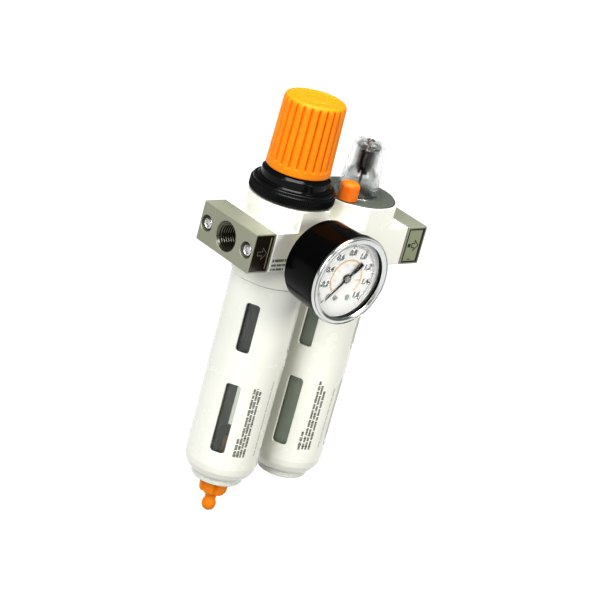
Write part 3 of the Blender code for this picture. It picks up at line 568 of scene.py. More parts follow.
def thread(r_crest, r_root, pitch, z0, z1, segs=64, per=8):
    """Solid with a helical thread on its side, to cut a tapped hole."""
    rows = int((z1 - z0) / pitch * per) + 1
    bm = bmesh.new()
    rings = []
    for j in range(rows + 1):
        z = z0 + (z1 - z0) * j / rows
        ring = []
        for k in range(segs):
            a = TAU * k / segs
            f = (z / pitch - k / segs) % 1.0
            tri = 1.0 - abs(2.0 * f - 1.0)
            tri = min(1.0, max(0.0, tri * 1.25 - 0.12))
            r = r_crest + (r_root - r_crest) * tri
            ring.append(bm.verts.new((r * math.cos(a), r * math.sin(a), z)))
        rings.append(ring)
    bm.faces.new(rings[0][::-1])
    bm.faces.new(rings[-1])
    for a, b in zip(rings, rings[1:]):
        for k in range(segs):
            n = (k + 1) % segs
            bm.faces.new((a[k], a[n], b[n], b[k]))
    return bm


def port_plate(side):
    outer = 0.0 if side == "inlet" else XMAX
    into = 1.0 if side == "inlet" else -1.0
    x0, x1 = (0.0, 11.85) if side == "inlet" else (XMAX - 11.85, XMAX)
    face = left if side == "inlet" else right
    inner_face = right if side == "inlet" else left
    inner = x1 if side == "inlet" else x0
    tools = [
        (CUT, rod(6.75, -13.2, 0.8, 72, face(outer))),
        (CUT, lathe([(0, -0.5), (6.75, -0.5), (7.1, -0.05, 0.1), (7.3, 0.6), (0, 0.6)], 72, face(outer))),
    ]
    insert = carve(rod(6.72, -11.8, -0.25, 72, face(outer)), [
        (CUT, to_mesh(thread(5.45, 6.6, 1.337, -13.2, 0.8), face(outer))),
        (CUT, lathe([(0, -1.3), (5.7, -1.3), (6.6, -0.3), (6.9, 0.6), (0, 0.6)], 72, face(outer))),
    ])
    piece(side + "_port_thread", insert, "root", M_THREAD, side + "_plate", angle=25)
    for y in (-14.5, 14.5):
        tools.append((CUT, lathe([(0, -4.9), (3.75, -4.9, 0.2), (3.75, -0.28), (4.05, 0.02, 0.12), (4.3, 0.5), (0, 0.5)], 48, face(outer, y))))
        tools.append((CUT, rod(2.3, -13.0, -4.0, 24, face(outer, y))))
    tools.append((CUT, lathe([(6.5, -1), (9.0, -1), (9.0, 1.5), (6.5, 1.5)], 48, inner_face(inner))))
    lo, hi = sorted((outer + into * 0.9, outer + into * 11.1))
    tools.append((CUT, rounded_box(lo, hi, -20, -18.1, -8.6, 8.6, 0.25, 2)))
    plate = carve(rounded_box(x0, x1, -19, 19, -9.4, 9.4, 0.55, 3), tools)
    piece(side + "_plate_fine", plate, "root", M_PLATE, side + "_plate")
    for label, y in (("front", -14.5), ("rear", 14.5)):
        node = "%s_screw_%s" % (side, label)
        head = [(0, -20.5), (1.6, -20.5), (2.0, -20.0), (2.0, -4.6), (3.4, -4.6, 0.1), (3.4, -3.4, 0.3), (2.8, -2.8, 0.2), (2.7, -1.0, 0.4), (2.0, -0.6), (0, -0.6)]

        def knurl(a, r, z):
            return r - (0.09 * (0.5 + 0.5 * math.cos(a * 36)) if r > 3.3 and -4.4 < z < -2.2 else 0.0)

        screw = carve(lathe(head, 144, face(outer, y), steps=5, wave=knurl), [
            (CUT, lathe([(0, -1.5), (1.62, -1.5), (1.75, -0.95), (2.15, -0.5), (2.3, 0.2), (0, 0.2)], 6, face(outer, y))),
        ])
        piece(node + "_fine", screw, "root", M_STEEL, node)
    # inlay in the front pocket
    a, b = lo + 0.3, hi - 0.3
    mat = M_INLAY_DARK if side == "inlet" else M_INLAY_GREEN
    piece(side + "_inlay_fine", slab(rect(a, b, -8.3, 8.3, 0.35), 18.4, 18.9, 0.0, 0.12, front()), "root",
          mat, side + "_inlay")
    return a, b


def frame_line(x0, x1, z0, z1, width, r, y0, y1):
    outer_line = rect(x0, x1, z0, z1, r, 3)
    inner_line = rect(x0 + width, x1 - width, z0 + width, z1 - width, max(0.05, r - width), 3)
    bm = bmesh.new()
    n = len(outer_line)
    sets = []
    for pts, z in ((outer_line, y0), (outer_line, y1), (inner_line, y1), (inner_line, y0)):
        sets.append([bm.verts.new((x, y, z)) for x, y in pts])
    for a, b in zip(sets, sets[1:] + sets[:1]):
        for i in range(n):
            j = (i + 1) % n
            bm.faces.new((a[i], a[j], b[j], b[i]))
    return to_mesh(bm, front())


def stroke(points, width, y0, y1, closed=True):
    """Raised line of constant width along a path in the front plane."""
    half = width / 2.0
    meshes = []
    n = len(points)
    for i in range(n if closed else n - 1):
        a, b = Vector(points[i]), Vector(points[(i + 1) % n])
        d = (b - a).normalized()
        s = Vector((-d.y, d.x)) * half
        a, b = a - d * half * 0.98, b + d * half * 0.98
        meshes.append(slab([tuple(a - s), tuple(b - s), tuple(b + s), tuple(a + s)], y0, y1 - 0.002 * (i % 2), at=front()))
    base = meshes[0]
    return carve(base, [(ADD, m) for m in meshes[1:]]) if len(meshes) > 1 else base


ia, ib = port_plate("inlet")
oa, ob_ = port_plate("outlet")

# dark inlay: pale bar beside its inner edge, faint open arrow
piece("inlet_inlay_bar", slab(rect(ib - 1.55, ib - 0.95, -7.4, 7.7, 0.2, 3), 18.85, 18.94, 0, 0.02, front()), "root",
      M_LINE_PALE)
arrow_in = [(3.6, -0.9), (6.1, -0.9), (6.1, -2.7), (8.7, 0.0), (6.1, 2.7), (6.1, 0.9), (3.6, 0.9)]
piece("inlet_inlay_arrow", stroke(arrow_in, 0.34, 18.85, 18.93), "root", M_LINE_FAINT)
# green inlay: black frame, heavier on the right, and an open arrow after a small square
piece("outlet_inlay_frame", frame_line(oa + 0.05, ob_ - 0.05, -8.25, 8.25, 0.5, 0.4, 18.85, 18.94), "root", M_LINE_BLACK)
piece("outlet_inlay_edge", slab(rect(ob_ - 1.15, ob_ - 0.5, -7.9, 7.9, 0.1, 2), 18.85, 18.935, at=front()), "root", M_LINE_BLACK)
ox = oa + 3.9
arrow_out = [(ox, -1.0), (ox + 1.5, -1.0), (ox + 1.5, -2.6), (ox + 3.9, 0.0), (ox + 1.5, 2.6), (ox + 1.5, 1.0), (ox, 1.0)]
piece("outlet_inlay_arrow", stroke(arrow_out, 0.42, 18.85, 18.93), "root", M_LINE_BLACK)
piece("outlet_inlay_icon", slab(rect(oa + 1.3, oa + 3.1, -0.85, 0.85, 0.25, 3), 18.85, 18.93, at=front()), "root", M_LINE_BLACK)
piece("outlet_inlay_dash", slab(rect(oa + 3.2, oa + 4.9, -7.15, -6.75, 0.1, 2), 18.85, 18.93, at=front()), "root", M_LINE_BLACK)

# =====================================================================================
# module bodies
# =====================================================================================


def neck_outline(r=19.4, pad=15.5, n=120):
    half = pad / 2
    edge = math.sqrt(r * r - half * half)
    a0, a1 = math.atan2(edge, half), math.atan2(-edge, half)
    pts = []
    for k in range(n // 2 + 1):          # right side, from lower front to upper back
        a = a1 + (a0 - a1) * k / (n // 2)
        pts.append((r * math.cos(a), r * math.sin(a)))
    pts += [(half, 19.0), (-half, 19.0)]
    for k in range(n // 2 + 1):
        a = math.pi - a0 + (2 * a0) * 0 + (a0 - a1) * k / (n // 2)
        pts.append((r * math.cos(a), r * math.sin(a)))
    pts += [(-half, -19.0), (half, -19.0)]
    return pts


def module_shell(cx, extra):
    x0, x1 = cx - 19.85, cx + 19.85
    tools = [
        (ADD, slab(neck_outline(), 4.0, 19.2, 0.0, 0.45, up(cx), 4)),
        (ADD, lathe([(0, -20.0), (18.0, -20.0, 0.3), (18.0, -5.0), (0, -5.0)], 128, up(cx))),
        (CUT, lathe([(0, -22), (17.0, -22), (17.0, -17.5), (15.7, -17.0), (15.7, -10.6), (0, -10.6)], 96, up(cx))),
    ]
    for x, face in ((x0, left), (x1, right)):
        for y in (-14.5, 14.5):
            tools.append((CUT, rod(2.3, -10.3, 1, 16, face(x, y))))
    return carve(rounded_box(x0, x1, -19, 19, -9.4, 9.4, 0.6, 4), tools + extra)


regulator = module_shell(FX, [
    (CUT, rod(16.2, 11.5, 21, 96, up(FX))),
    (CUT, rod(9.0, 3.0, 12.5, 48, up(FX))),
    (CUT, rod(3.6, 0.8, 3.6, 32, up(FX))),
    (CUT, rod(5.4, -12.0, 1.5, 32, up(FX))),
    (CUT, rod(5.0, -11.2, 1, 48, left(12.15))),
    (CUT, rounded_box(18.6, 23.2, -4.0, 4.0, -12.0, 0.0, 0.3, 2)),
    (CUT, rod(5.0, -12.8, 1, 32, right(51.85))),
    (CUT, lathe([(0, 7.8), (5.0, 7.8), (5.0, 18.6), (5.5, 19.1), (5.7, 20), (0, 20)], 48, front(FX))),
    (CUT, lathe([(0, 7.8), (5.0, 7.8), (5.0, 18.6), (5.5, 19.1), (5.7, 20), (0, 20)], 48, back(FX))),
])
piece("regulator_body_fine", regulator, "root", M_ENAMEL, "regulator_body")
lubricator = module_shell(LX, [
    (CUT, lathe([(0, 17.3), (18.45, 17.3), (18.45, 18.9), (18.75, 19.25, 0.1), (19.0, 20.5), (0, 20.5)], 128, up(LX))),
    (CUT, rod(5.0, -41, 1, 32, left(52.15))),
    (CUT, rod(6.2, 7.0, 18.0, 32, up(LX))),
    (CUT, rod(1.5, 3.0, 8.0, 16, up(LX))),
    (CUT, rod(2.0, -12.0, 18.0, 24, up(LX, 9.6))),
    (CUT, rod(2.7, 8.0, 18.0, 24, up(59.2, -7.7))),
    (CUT, lathe([(6.5, -1), (9.0, -1), (9.0, 1.5), (6.5, 1.5)], 48, right(52.15))),
])
piece("lubricator_body_fine", lubricator, "root", M_ENAMEL, "lubricator_body")

# =====================================================================================
# regulator head
# =====================================================================================

bonnet = [
    (11.3, 13.9), (15.8, 13.9), (15.8, 19.5), (17.2, 19.5), (17.2, 26.2, 0.5), (16.4, 26.9), (15.9, 26.9), (15.9, 30.2, 0.6),
    (14.4, 31.5, 0.5), (12.4, 31.5), (12.4, 54.4, 0.4), (11.5, 55.3), (3.7, 55.3), (3.7, 53.0), (11.3, 53.0),
]
piece("bonnet_fine", lathe(bonnet, 128, up(FX), steps=4), "root", M_BLACK, "bonnet")


def nut_knurl(a, r, z):
    if r > 19.5 and 20.5 < z < 23.9:
        f = (a / TAU * 132) % 1.0
        return r - 0.34 * (0.5 - 0.5 * math.cos(TAU * f)) ** 0.7
    return r


nut = [(17.5, 19.7), (19.2, 19.7, 0.2), (19.7, 20.3, 0.15), (19.7, 20.55), (19.7, 20.7), (19.7, 22.2), (19.7, 23.7), (19.7, 23.85),
       (19.7, 24.1, 0.15), (19.15, 24.65, 0.2), (18.85, 24.65), (18.85, 25.0), (18.7, 25.6, 0.2), (18.3, 25.9, 0.15), (17.5, 25.9, 0.1)]
piece("panel_nut_fine", lathe(nut, 792, up(FX), steps=3, wave=nut_knurl), "panel_nut", M_KNURL, "panel_nut", angle=60)


def smooth(t):
    t = min(1.0, max(0.0, t))
    return t * t * (3 - 2 * t)


def knob_wave(a, r, z):
    """24 broad ribs with narrow grooves that run out at the skirt and under the top edge."""
    if r < 13.6 or z < 35.2:
        return r
    depth = 1.1 * smooth((z - 35.3) / 0.9) * smooth((65.1 - z) / 1.8)
    f = (a / TAU * 24) % 1.0
    d = min(f, 1.0 - f)            # distance from the groove centre, in rib pitches
    groove = 1.0 - smooth((d - 0.05) / 0.13)
    crown = 0.10 * (0.5 - d) * 0.0 + 0.10 * (d / 0.5) ** 2
    return r - depth * (groove - 0.0) - depth * 0.12 + depth * crown


knob = [(13.2, 32.0, 0.3), (14.55, 32.0, 0.35), (14.9, 32.6, 0.3), (14.9, 34.9), (14.88, 35.4), (14.87, 35.8), (14.86, 36.2), (14.85, 36.8)]
knob += [(14.85 - 0.5 * (z - 36.8) / 25.9, z) for z in (40.0, 44.0, 48.0, 52.0, 56.0, 60.0, 62.2, 63.0)]
knob += [(14.3, 63.5), (14.2, 64.0), (14.0, 64.6), (13.65, 65.1), (13.15, 65.45), (12.5, 65.63), (11.7, 65.7), (10.9, 65.65),
         (10.3, 65.42), (9.8, 65.22), (9.0, 65.14), (6.0, 65.1), (5.6, 65.08), (5.45, 65.0), (5.2, 65.0), (5.05, 65.08), (2.0, 65.06), (0.0, 65.05)]
knob += [(0, 61.6), (3.7, 61.6), (3.7, 56.4), (5.5, 56.4), (5.5, 59.4), (12.4, 59.4), (13.2, 58.6)]
piece("adjusting_knob_fine", lathe(knob, 480, up(FX), steps=3, wave=knob_wave), "knob", M_ORANGE, "adjusting_knob", angle=50)

spindle = [(0, 22.0), (2.5, 22.0), (3.0, 22.6), (3.0, 50.1), (6.0, 50.1, 0.2), (6.0, 52.6, 0.2), (3.3, 52.6), (3.3, 60.6), (2.8, 61.2), (0, 61.2)]
piece("adjusting_spindle_fine", lathe(spindle, 48, up(FX)), "spindle", M_STEEL, "adjusting_spindle")

def coil(r, z0, z1, turns, wire_r, steps, cx):
    """Compression spring with one closed turn at each end."""
    low, high = z0 + wire_r, z1 - wire_r
    closed = 2.0 * wire_r + 0.3
    free = (high - low - 2.0 * closed) / (turns - 2.0)
    pts = []
    total = int(turns * steps)
    for k in range(total + 1):
        t = turns * k / total
        if t < 1.0:
            z = low + closed * t
        elif t > turns - 1.0:
            z = high - closed * (turns - t)
        else:
            z = low + closed + free * (t - 1.0)
        pts.append((cx + r * math.cos(TAU * t), r * math.sin(TAU * t), z))
    return pts


spring = piece("regulating_spring_fine", tube_along(coil(7.5, 14.5, 45.8, 7.5, 1.1, 32, FX), 1.1, 12), "root", M_DARKSTEEL, "regulating_spring", angle=60)
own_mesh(spring)
spring = piece("valve_spring_fine", tube_along(coil(2.9, -6.3, -0.9, 4.0, 0.3, 28, FX), 0.3, 10), "root", M_DARKSTEEL, "valve_spring", angle=60)
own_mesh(spring)

# =====================================================================================
# bowl guards: a thin shell with eight rounded slots
# =====================================================================================
R_G = 17.4
BAND_TOP, BAND_LOW = -24.0, -108.0
COLUMNS = 144


def r_outer(z):
    return R_G if z > -60 else R_G - 0.2 * (-60 - z) / 51.0


def r_inner(z):
    return 16.1 - 0.1 * (-17.8 - z) / 92.8


def slot_outline(phi, z0, z1, width, corner, grow):
    """Rounded slot in (arc, height), arc measured at the outer radius, with the same point count for any grow."""
    cx = math.radians(phi) * R_G
    half, c = width / 2 + grow, corner + grow
    z0, z1 = z0 - grow, z1 + grow
    pts = []
    corners = [(cx + half - c, z1 - c, 0), (cx - half + c, z1 - c, 90), (cx - half + c, z0 + c, 180), (cx + half - c, z0 + c, 270)]
    for i, (mx, mz, a0) in enumerate(corners):
        arc = [(mx + c * math.cos(math.radians(a0 + 90 * k / 6)), mz + c * math.sin(math.radians(a0 + 90 * k / 6))) for k in range(7)]
        pts += arc
        nx, nz, na = corners[(i + 1) % 4]
        end = (nx + c * math.cos(math.radians(na)), nz + c * math.sin(math.radians(na)))
        run = 4 if i % 2 == 0 else 14
        for k in range(1, run):
            pts.append((arc[-1][0] + (end[0] - arc[-1][0]) * k / run, arc[-1][1] + (end[1] - arc[-1][1]) * k / run))
    return pts


def in_slot(x, z, slot, grow):
    phi, z0, z1, width, corner = slot
    dx = abs(x - math.radians(phi) * R_G) - (width / 2 + grow - corner - grow)
    dz = abs(z - (z0 + z1) / 2) - ((z1 - z0) / 2 - corner)
    if dx <= 0:
        return dz < corner + grow
    if dz <= 0:
        return dx < corner + grow
    return math.hypot(dx, dz) < corner + grow


def bowl_guard(name, cx, turn, body, node):
    slots = []
    for at in (-132, -48, 48, 132):
        slots.append((at - 3.0, -53.8, -29.8, 6.6, 1.5))
        slots.append((at - 1.1, -104.8, -70.0, 7.3, 1.7))
    bm = bmesh.new()

    def vert(x, z, r):
        phi = x / R_G + math.radians(turn)
        return bm.verts.new((cx + r * math.sin(phi), -r * math.cos(phi), z))

    full = TAU * R_G
    left_x = -full / 2
    skins = []
    for radius_at, grow in ((r_outer, 0.42), (r_inner, 0.22)):
        pts, edges = [], []

        def loop(line):
            base = len(pts)
            pts.extend(line)
            edges.extend((base + i, base + (i + 1) % len(line)) for i in range(len(line)))

        rows = 14
        bottom = [(left_x + full * k / COLUMNS, BAND_LOW) for k in range(COLUMNS)]
        right_side = [(left_x + full, BAND_LOW + (BAND_TOP - BAND_LOW) * j / rows) for j in range(rows)]
        top = [(left_x + full * k / COLUMNS, BAND_TOP) for k in range(COLUMNS, 0, -1)]
        left_side = [(left_x, BAND_LOW + (BAND_TOP - BAND_LOW) * j / rows) for j in range(rows, 0, -1)]
        loop(bottom + right_side + top + left_side)
        starts = []
        for s in slots:
            starts.append(len(pts))
            loop(slot_outline(*s, grow))
        for k in range(1, COLUMNS):
            for j in range(1, rows):
                x, z = left_x + full * k / COLUMNS, BAND_LOW + (BAND_TOP - BAND_LOW) * j / rows
                if not any(in_slot(x, z, s, grow + 0.35) for s in slots):
                    pts.append((x, z))
        vs, _, faces, orig, _, _ = delaunay_2d_cdt([Vector(p) for p in pts], edges, [], 0, 1e-5, True)
        made = [vert(v.x, v.y, radius_at(v.y)) for v in vs]
        where = {}
        for i, sources in enumerate(orig):
            for s in sources:
                where[s] = made[i]
        for f in faces:
            mx, mz = sum(vs[i].x for i in f) / 3, sum(vs[i].y for i in f) / 3
            if not any(in_slot(mx, mz, s, grow) for s in slots):
                bm.faces.new([made[i] for i in f])
        skins.append((where, starts, bottom, top, len(bottom) + len(right_side)))
    # rounded slot walls between the two skins
    count = len(slot_outline(*slots[0], 0.0))
    for n, s in enumerate(slots):
        rings = [[skins[0][0][skins[0][1][n] + i] for i in range(count)]]
        e, e2 = 0.42, 0.22
        for k in range(1, 5):
            a = math.pi / 2 * k / 4
            rings.append([vert(x, z, r_outer(z) - e * (1 - math.cos(a))) for x, z in slot_outline(*s, e * (1 - math.sin(a)))])
        for k in range(0, 3):
            a = math.pi / 2 * k / 3
            rings.append([vert(x, z, r_inner(z) + e2 * (1 - math.sin(a))) for x, z in slot_outline(*s, e2 * (1 - math.cos(a)))])
        rings.append([skins[1][0][skins[1][1][n] + i] for i in range(count)])
        for a, b in zip(rings, rings[1:]):
            for i in range(count):
                j = (i + 1) % count
                bm.faces.new((a[i], a[j], b[j], b[i]))
    # top lip and rounded foot
    lip = fillet([(R_G, BAND_TOP, 0), (R_G, -20.4, 0.35), (16.7, -20.4, 0), (16.7, -17.8, 0.15), (16.1, -17.8, 0.15), (r_inner(BAND_TOP), BAND_TOP, 0)],
                 0, 4, closed=False)
    foot = fillet([(r_outer(BAND_LOW), BAND_LOW, 0), (17.2, -112.4, 1.5), (16.7, -115.5, 1.5), (15.2, -118.2, 1.5), (13.8, -119.5, 0.6),
                   (12.9, -119.9, 0.25), (12.7, -118.9, 0.2), (14.4, -117.5, 1.0), (15.5, -115.1, 1.0), (16.0, -112.0, 1.0),
                   (r_inner(BAND_LOW), BAND_LOW, 0)], 0, 5, closed=False)
    for line, row in ((lip, "top"), (foot, "bottom")):
        rings = []
        for i, (r, z) in enumerate(line):
            if i in (0, len(line) - 1):
                where, starts, bottom, top, top_start = skins[0 if i == 0 else 1]
                ring = []
                for k in range(COLUMNS):
                    if row == "bottom":
                        ring.append(where[k])
                    else:
                        ring.append(where[top_start + (COLUMNS - k)] if k else where[top_start])
                rings.append(ring)
            else:
                rings.append([vert(left_x + full * k / COLUMNS, z, r) for k in range(COLUMNS)])
        for a, b in zip(rings, rings[1:]):
            for k in range(COLUMNS):
                n = (k + 1) % COLUMNS
                bm.faces.new((a[k], a[n], b[n], b[k]))
    bmesh.ops.remove_doubles(bm, verts=bm.verts, dist=1e-4)
    open_edges = sum(1 for e in bm.edges if len(e.link_faces) != 2)
    if open_edges:
        print(name, "has", open_edges, "edges that are not closed")
    mesh = to_mesh(bm)
    return piece(name, mesh, body, M_ENAMEL, node, angle=40)


FILTER_TURN, LUB_TURN = -4.0, -10.0
bowl_guard("filter_bowl_guard_fine", FX, FILTER_TURN, "filter_bowl", "filter_bowl_guard")
bowl_guard("lubricator_bowl_guard_fine", LX, LUB_TURN, "lubricator_bowl", "lubricator_bowl_guard")


def guard_print(name, cx, body, lines, material, seed):
    """Rows of small blocks that stand in for printing; each row is (azimuth, z low, z high, height)."""
    rnd = random.Random(seed)
    bm = bmesh.new()
    for phi, z0, z1, tall in lines:
        z = z0
        word = rnd.uniform(2.0, 5.0)
        while z < z1 - 0.3:
            w = rnd.uniform(0.34, 0.62)
            h = tall * rnd.choice((0.72, 0.72, 0.8, 1.0))
            a0 = math.radians(phi) - h / 2 / R_G
            a1 = math.radians(phi) + h / 2 / R_G
            corners = []
            for zz in (z, z + w):
                r = r_outer(zz)
                for aa in (a0, a1):
                    for rr in (r - 0.06, r + 0.025):
                        corners.append(bm.verts.new((cx + rr * math.sin(aa), -rr * math.cos(aa), zz)))
            v = corners
            for f in ((0, 1, 3, 2), (4, 6, 7, 5), (0, 4, 5, 1), (2, 3, 7, 6), (0, 2, 6, 4), (1, 5, 7, 3)):
                bm.faces.new([v[i] for i in f])
            z += w + 0.14
            word -= w + 0.14
            if word < 0:
                z += 0.55
                word = rnd.uniform(1.6, 5.5)
    return piece(name, to_mesh(bm), body, material, angle=20, weighted=False)


guard_print("filter_print_dark", FX, "filter_bowl",
            [(-24.8, -105.0, -95.8, 1.45), (-19.5, -105.0, -70.0, 1.3), (-14.6, -105.0, -69.5, 1.3), (-9.2, -105.0, -71.0, 1.3)], M_PRINT, 3)
guard_print("filter_print_pale", FX, "filter_bowl", [(13.0, -105.0, -66.0, 1.0)], M_PRINT_PALE, 8)
guard_print("lubricator_print_dark", LX, "lubricator_bowl",
            [(-26.0, -105.4, -96.0, 1.45), (-19.8, -105.0, -69.0, 1.3), (-14.5, -105.0, -71.0, 1.3), (-8.5, -105.0, -74.0, 1.3)], M_PRINT, 5)
guard_print("lubricator_print_pale", LX, "lubricator_bowl", [(12.0, -104.7, -73.0, 1.0)], M_PRINT_PALE, 9)


def block_print(name, x0, rows, seed):
    rnd = random.Random(seed)
    meshes = []
    for z, x_end, tall in rows:
        x = x0
        while x < x_end:
            w = rnd.uniform(0.4, 0.75)
            meshes.append(slab(rect(x, x + w, z, z + tall), 18.95, 19.03, at=front()))
            x += w + (0.16 if rnd.random() < 0.8 else 0.6)
    return piece(name, merge(meshes), "root", M_PRINT, angle=20, weighted=False)


block_print("regulator_print", 13.4, [(-4.4, 21.0, 1.2), (-6.6, 20.6, 1.0), (-8.6, 20.8, 1.0)], 2)

# =====================================================================================
# clear bowls and what shows through them
# =====================================================================================
bowl_outside = [(12.2, -11.0), (15.3, -11.0, 0.2), (15.3, -13.8, 0.2), (13.7, -13.8), (13.7, -16.2), (15.3, -16.2, 0.2), (15.5, -21.0, 1.0),
                (15.3, -108.0, 4.0), (14.9, -111.0, 4.0), (14.0, -113.8, 4.0), (12.5, -116.4, 1.0), (12.2, -117.2, 0.1)]
bowl_foot = [(12.2, -117.25, 0.1), (12.2, -122.9, 0.35), (11.6, -123.5, 0.25)]
bowl_inside = [(5.0, -115.5, 0.3), (10.6, -115.5, 2.5), (12.7, -112.6, 3.0), (13.5, -108.4, 3.0), (13.7, -24.0, 2.0), (12.2, -20.6, 1.0)]
piece("filter_bowl_fine", lathe(bowl_outside + [(5.0, -117.2)] + bowl_inside, 96, up(FX), steps=4), "filter_bowl", M_BOWL, "filter_bowl")
piece("filter_bowl_foot", lathe(bowl_foot + [(7.4, -123.5, 0.2), (7.4, -122.9), (3.5, -122.9), (3.5, -117.25)], 96, up(FX), steps=4), "filter_bowl",
      M_FOOT, "filter_bowl")
piece("lubricator_bowl_fine", lathe(bowl_outside + [(0, -117.2), (0, -115.5)] + bowl_inside[1:], 96, up(LX), steps=4), "lubricator_bowl",
      M_BOWL_L, "lubricator_bowl")
piece("lubricator_bowl_foot", lathe(bowl_foot + [(9.0, -123.5, 0.2), (8.4, -121.8, 0.4), (0, -121.8), (0, -117.25)], 96, up(LX), steps=4), "lubricator_bowl",
      M_FOOT, "lubricator_bowl")


def pleats(a, r, z):
    return r - (0.35 * (0.5 + 0.5 * math.cos(a * 40)) if r > 8.6 and -51.0 < z < -21.6 else 0.0)


piece("filter_element_fine", lathe([(5.2, -51.6), (8.8, -51.6, 0.2), (8.8, -50.9), (8.8, -36.0), (8.8, -21.7), (8.8, -21.0, 0.2), (5.2, -21.0)], 240, up(FX), wave=pleats),
      "root", M_MEDIA, "filter_element", angle=60)
baffle = [(0, -58.0), (2.0, -58.0, 0.5), (9.0, -56.8, 1.0), (11.4, -54.6, 0.4), (11.4, -53.9, 0.2), (8.6, -51.9, 0.2), (4.6, -51.9), (2.5, -51.2), (2.5, -15.2),
          (2.1, -14.8), (0, -14.8)]
piece("baffle_fine", lathe(baffle, 72, up(FX)), "root", M_BLACK, "baffle")
stem = [(0, -128.8), (2.3, -128.8, 0.2), (2.5, -115.1), (3.2, -115.1, 0.3), (3.2, -99.6), (0, -99.6)]
piece("drain_stem_fine", lathe(stem, 48, up(FX)), "drain_stem", M_ORANGE, "drain_stem")
# black sleeve round the stem, open on one side
stem_sleeve = carve(lathe([(3.25, -115.05), (4.2, -115.05, 0.2), (4.2, -100.0, 0.4), (3.4, -98.0, 0.3), (0, -98.0), (0, -99.5), (3.25, -99.5)], 72, up(FX)), [
    (CUT, rounded_box(-2.3, 2.3, -6.0, 0.0, -114.2, -100.4, 0.4, 3, up(FX) @ Matrix.Rotation(math.radians(-26.0), 4, "Z"))),
])
piece("drain_stem_sleeve", stem_sleeve, "drain_stem", M_BLACK, "drain_stem")

siphon = []
for k in range(61):
    z = 16.0 - 120.0 * k / 60.0
    share = smooth((-20.0 - z) / 60.0)
    siphon.append((LX + 1.5 * share, 9.6 - 5.6 * share, z))
piece("siphon_tube_fine", tube_along(siphon, 1.4, 20), "root", M_NATURAL, "siphon_tube")


def mesh_wave(a, r, z):
    return r - (0.12 * (0.5 + 0.5 * math.cos(a * 24)) * (0.5 + 0.5 * math.cos(z * TAU / 0.7)) if r > 2.9 else 0.0)


strain = [(0, -112.0), (2.6, -112.0, 0.3), (3.0, -111.5)] + [(3.0, -111.3 + 0.175 * k) for k in range(38)] + [(3.0, -104.4, 0.2), (0, -104.4)]
piece("siphon_strainer_fine", lathe(strain, 120, up(LX + 1.5, 4.0), wave=mesh_wave), "root", M_STRAINER, "siphon_strainer", angle=60)

LOBES = 6


def lobe_outline(r_out, r_in, n=120):
    pts = []
    for k in range(n):
        a = TAU * k / n
        f = abs(((a / TAU * LOBES) % 1.0) - 0.5) * 2.0
        pts.append(((r_out - (r_out - r_in) * smooth((f - 0.62) / 0.33)) * math.cos(a), (r_out - (r_out - r_in) * smooth((f - 0.62) / 0.33)) * math.sin(a)))
    return pts


def lobed_grip():
    bm = bmesh.new()
    rings = []
    for r_out, r_in, z in ((5.6, 4.7, -131.6), (6.0, 4.95, -131.5), (6.25, 5.1, -131.25), (6.45, 5.25, -130.6), (6.75, 5.4, -128.0), (7.0, 5.45, -125.0),
                           (6.95, 5.45, -124.3), (6.8, 5.4, -123.95), (6.5, 5.25, -123.8)):
        rings.append([bm.verts.new((x, y, z)) for x, y in lobe_outline(r_out, r_in)])
    bm.faces.new(rings[0][::-1])
    bm.faces.new(rings[-1])
    n = len(rings[0])
    for a, b in zip(rings, rings[1:]):
        for k in range(n):
            j = (k + 1) % n
            bm.faces.new((a[k], a[j], b[j], b[k]))
    return to_mesh(bm, up(FX))


tip = [(0, -141.7), (0.6, -141.68), (1.7, -141.4), (2.6, -140.7), (3.15, -139.6), (3.35, -138.4), (3.2, -137.3), (2.8, -136.4), (2.55, -135.8), (2.6, -135.0), (2.8, -133.5),
       (3.3, -131.4), (3.4, -130.6), (0, -130.6)]
grip = carve(lobed_grip(), [
    (ADD, lathe(tip, 64, up(FX))),
    (CUT, lathe([(0, -145), (1.15, -145), (1.0, -140.8), (1.0, -129.4), (3.1, -129.4), (3.1, -122), (0, -122)], 40, up(FX))),
])
piece("drain_knob_fine", grip, "drain_knob", M_ORANGE, "drain_knob", angle=45)

# =====================================================================================
# pressure gauge
# =====================================================================================
G = front(FX, 0.0)
stem_profile = [(0, 10.4), (4.2, 10.4), (4.6, 10.9), (4.6, 19.3), (5.4, 19.3), (5.4, 29.4), (4.0, 29.4), (4.0, 33.4), (0, 33.4)]
hexagon = carve(slab(polygon(6, 13.86, 0.3, math.radians(30)), 19.6, 25.6, at=G), [
    ("INTERSECT", lathe([(0, 19.4), (7.0, 19.6), (8.2, 20.4), (8.2, 24.8), (7.0, 25.6), (0, 25.8)], 72, G)),
])
socket = carve(lathe(stem_profile, 64, G, 0.12), [(ADD, hexagon), (CUT, rod(1.2, 9.0, 31.0, 24, G))])
piece("gauge_socket_fine", socket, "root", M_BRASS, "gauge_socket")
case = [(5.8, 27.3), (18.5, 27.3, 0.8), (19.45, 28.3, 0.8), (20.3, 46.4, 0.3), (20.3, 47.7, 0.2), (19.0, 47.7), (18.9, 46.0), (18.0, 28.8), (5.8, 28.8)]
piece("gauge_case_fine", lathe(case, 144, G, steps=5), "root", M_CASE, "gauge_case")
band = [(20.6, 47.2, 0.1), (21.1, 47.2, 0.2), (21.1, 49.3, 0.15), (20.6, 49.3)]
piece("gauge_bezel_band", lathe(band, 192, G, steps=4), "root", M_CASE, "gauge_bezel")
bezel = [(20.65, 49.4, 0.05), (21.1, 49.4, 0.15), (21.1, 50.3, 0.25), (20.9, 50.9, 0.2), (20.55, 50.9, 0.1), (20.45, 50.4), (20.1, 50.4), (20.0, 50.95, 0.15),
         (19.0, 51.0, 0.3), (18.4, 50.7, 0.2), (17.85, 50.45, 0.1), (17.85, 50.3), (20.65, 50.3)]
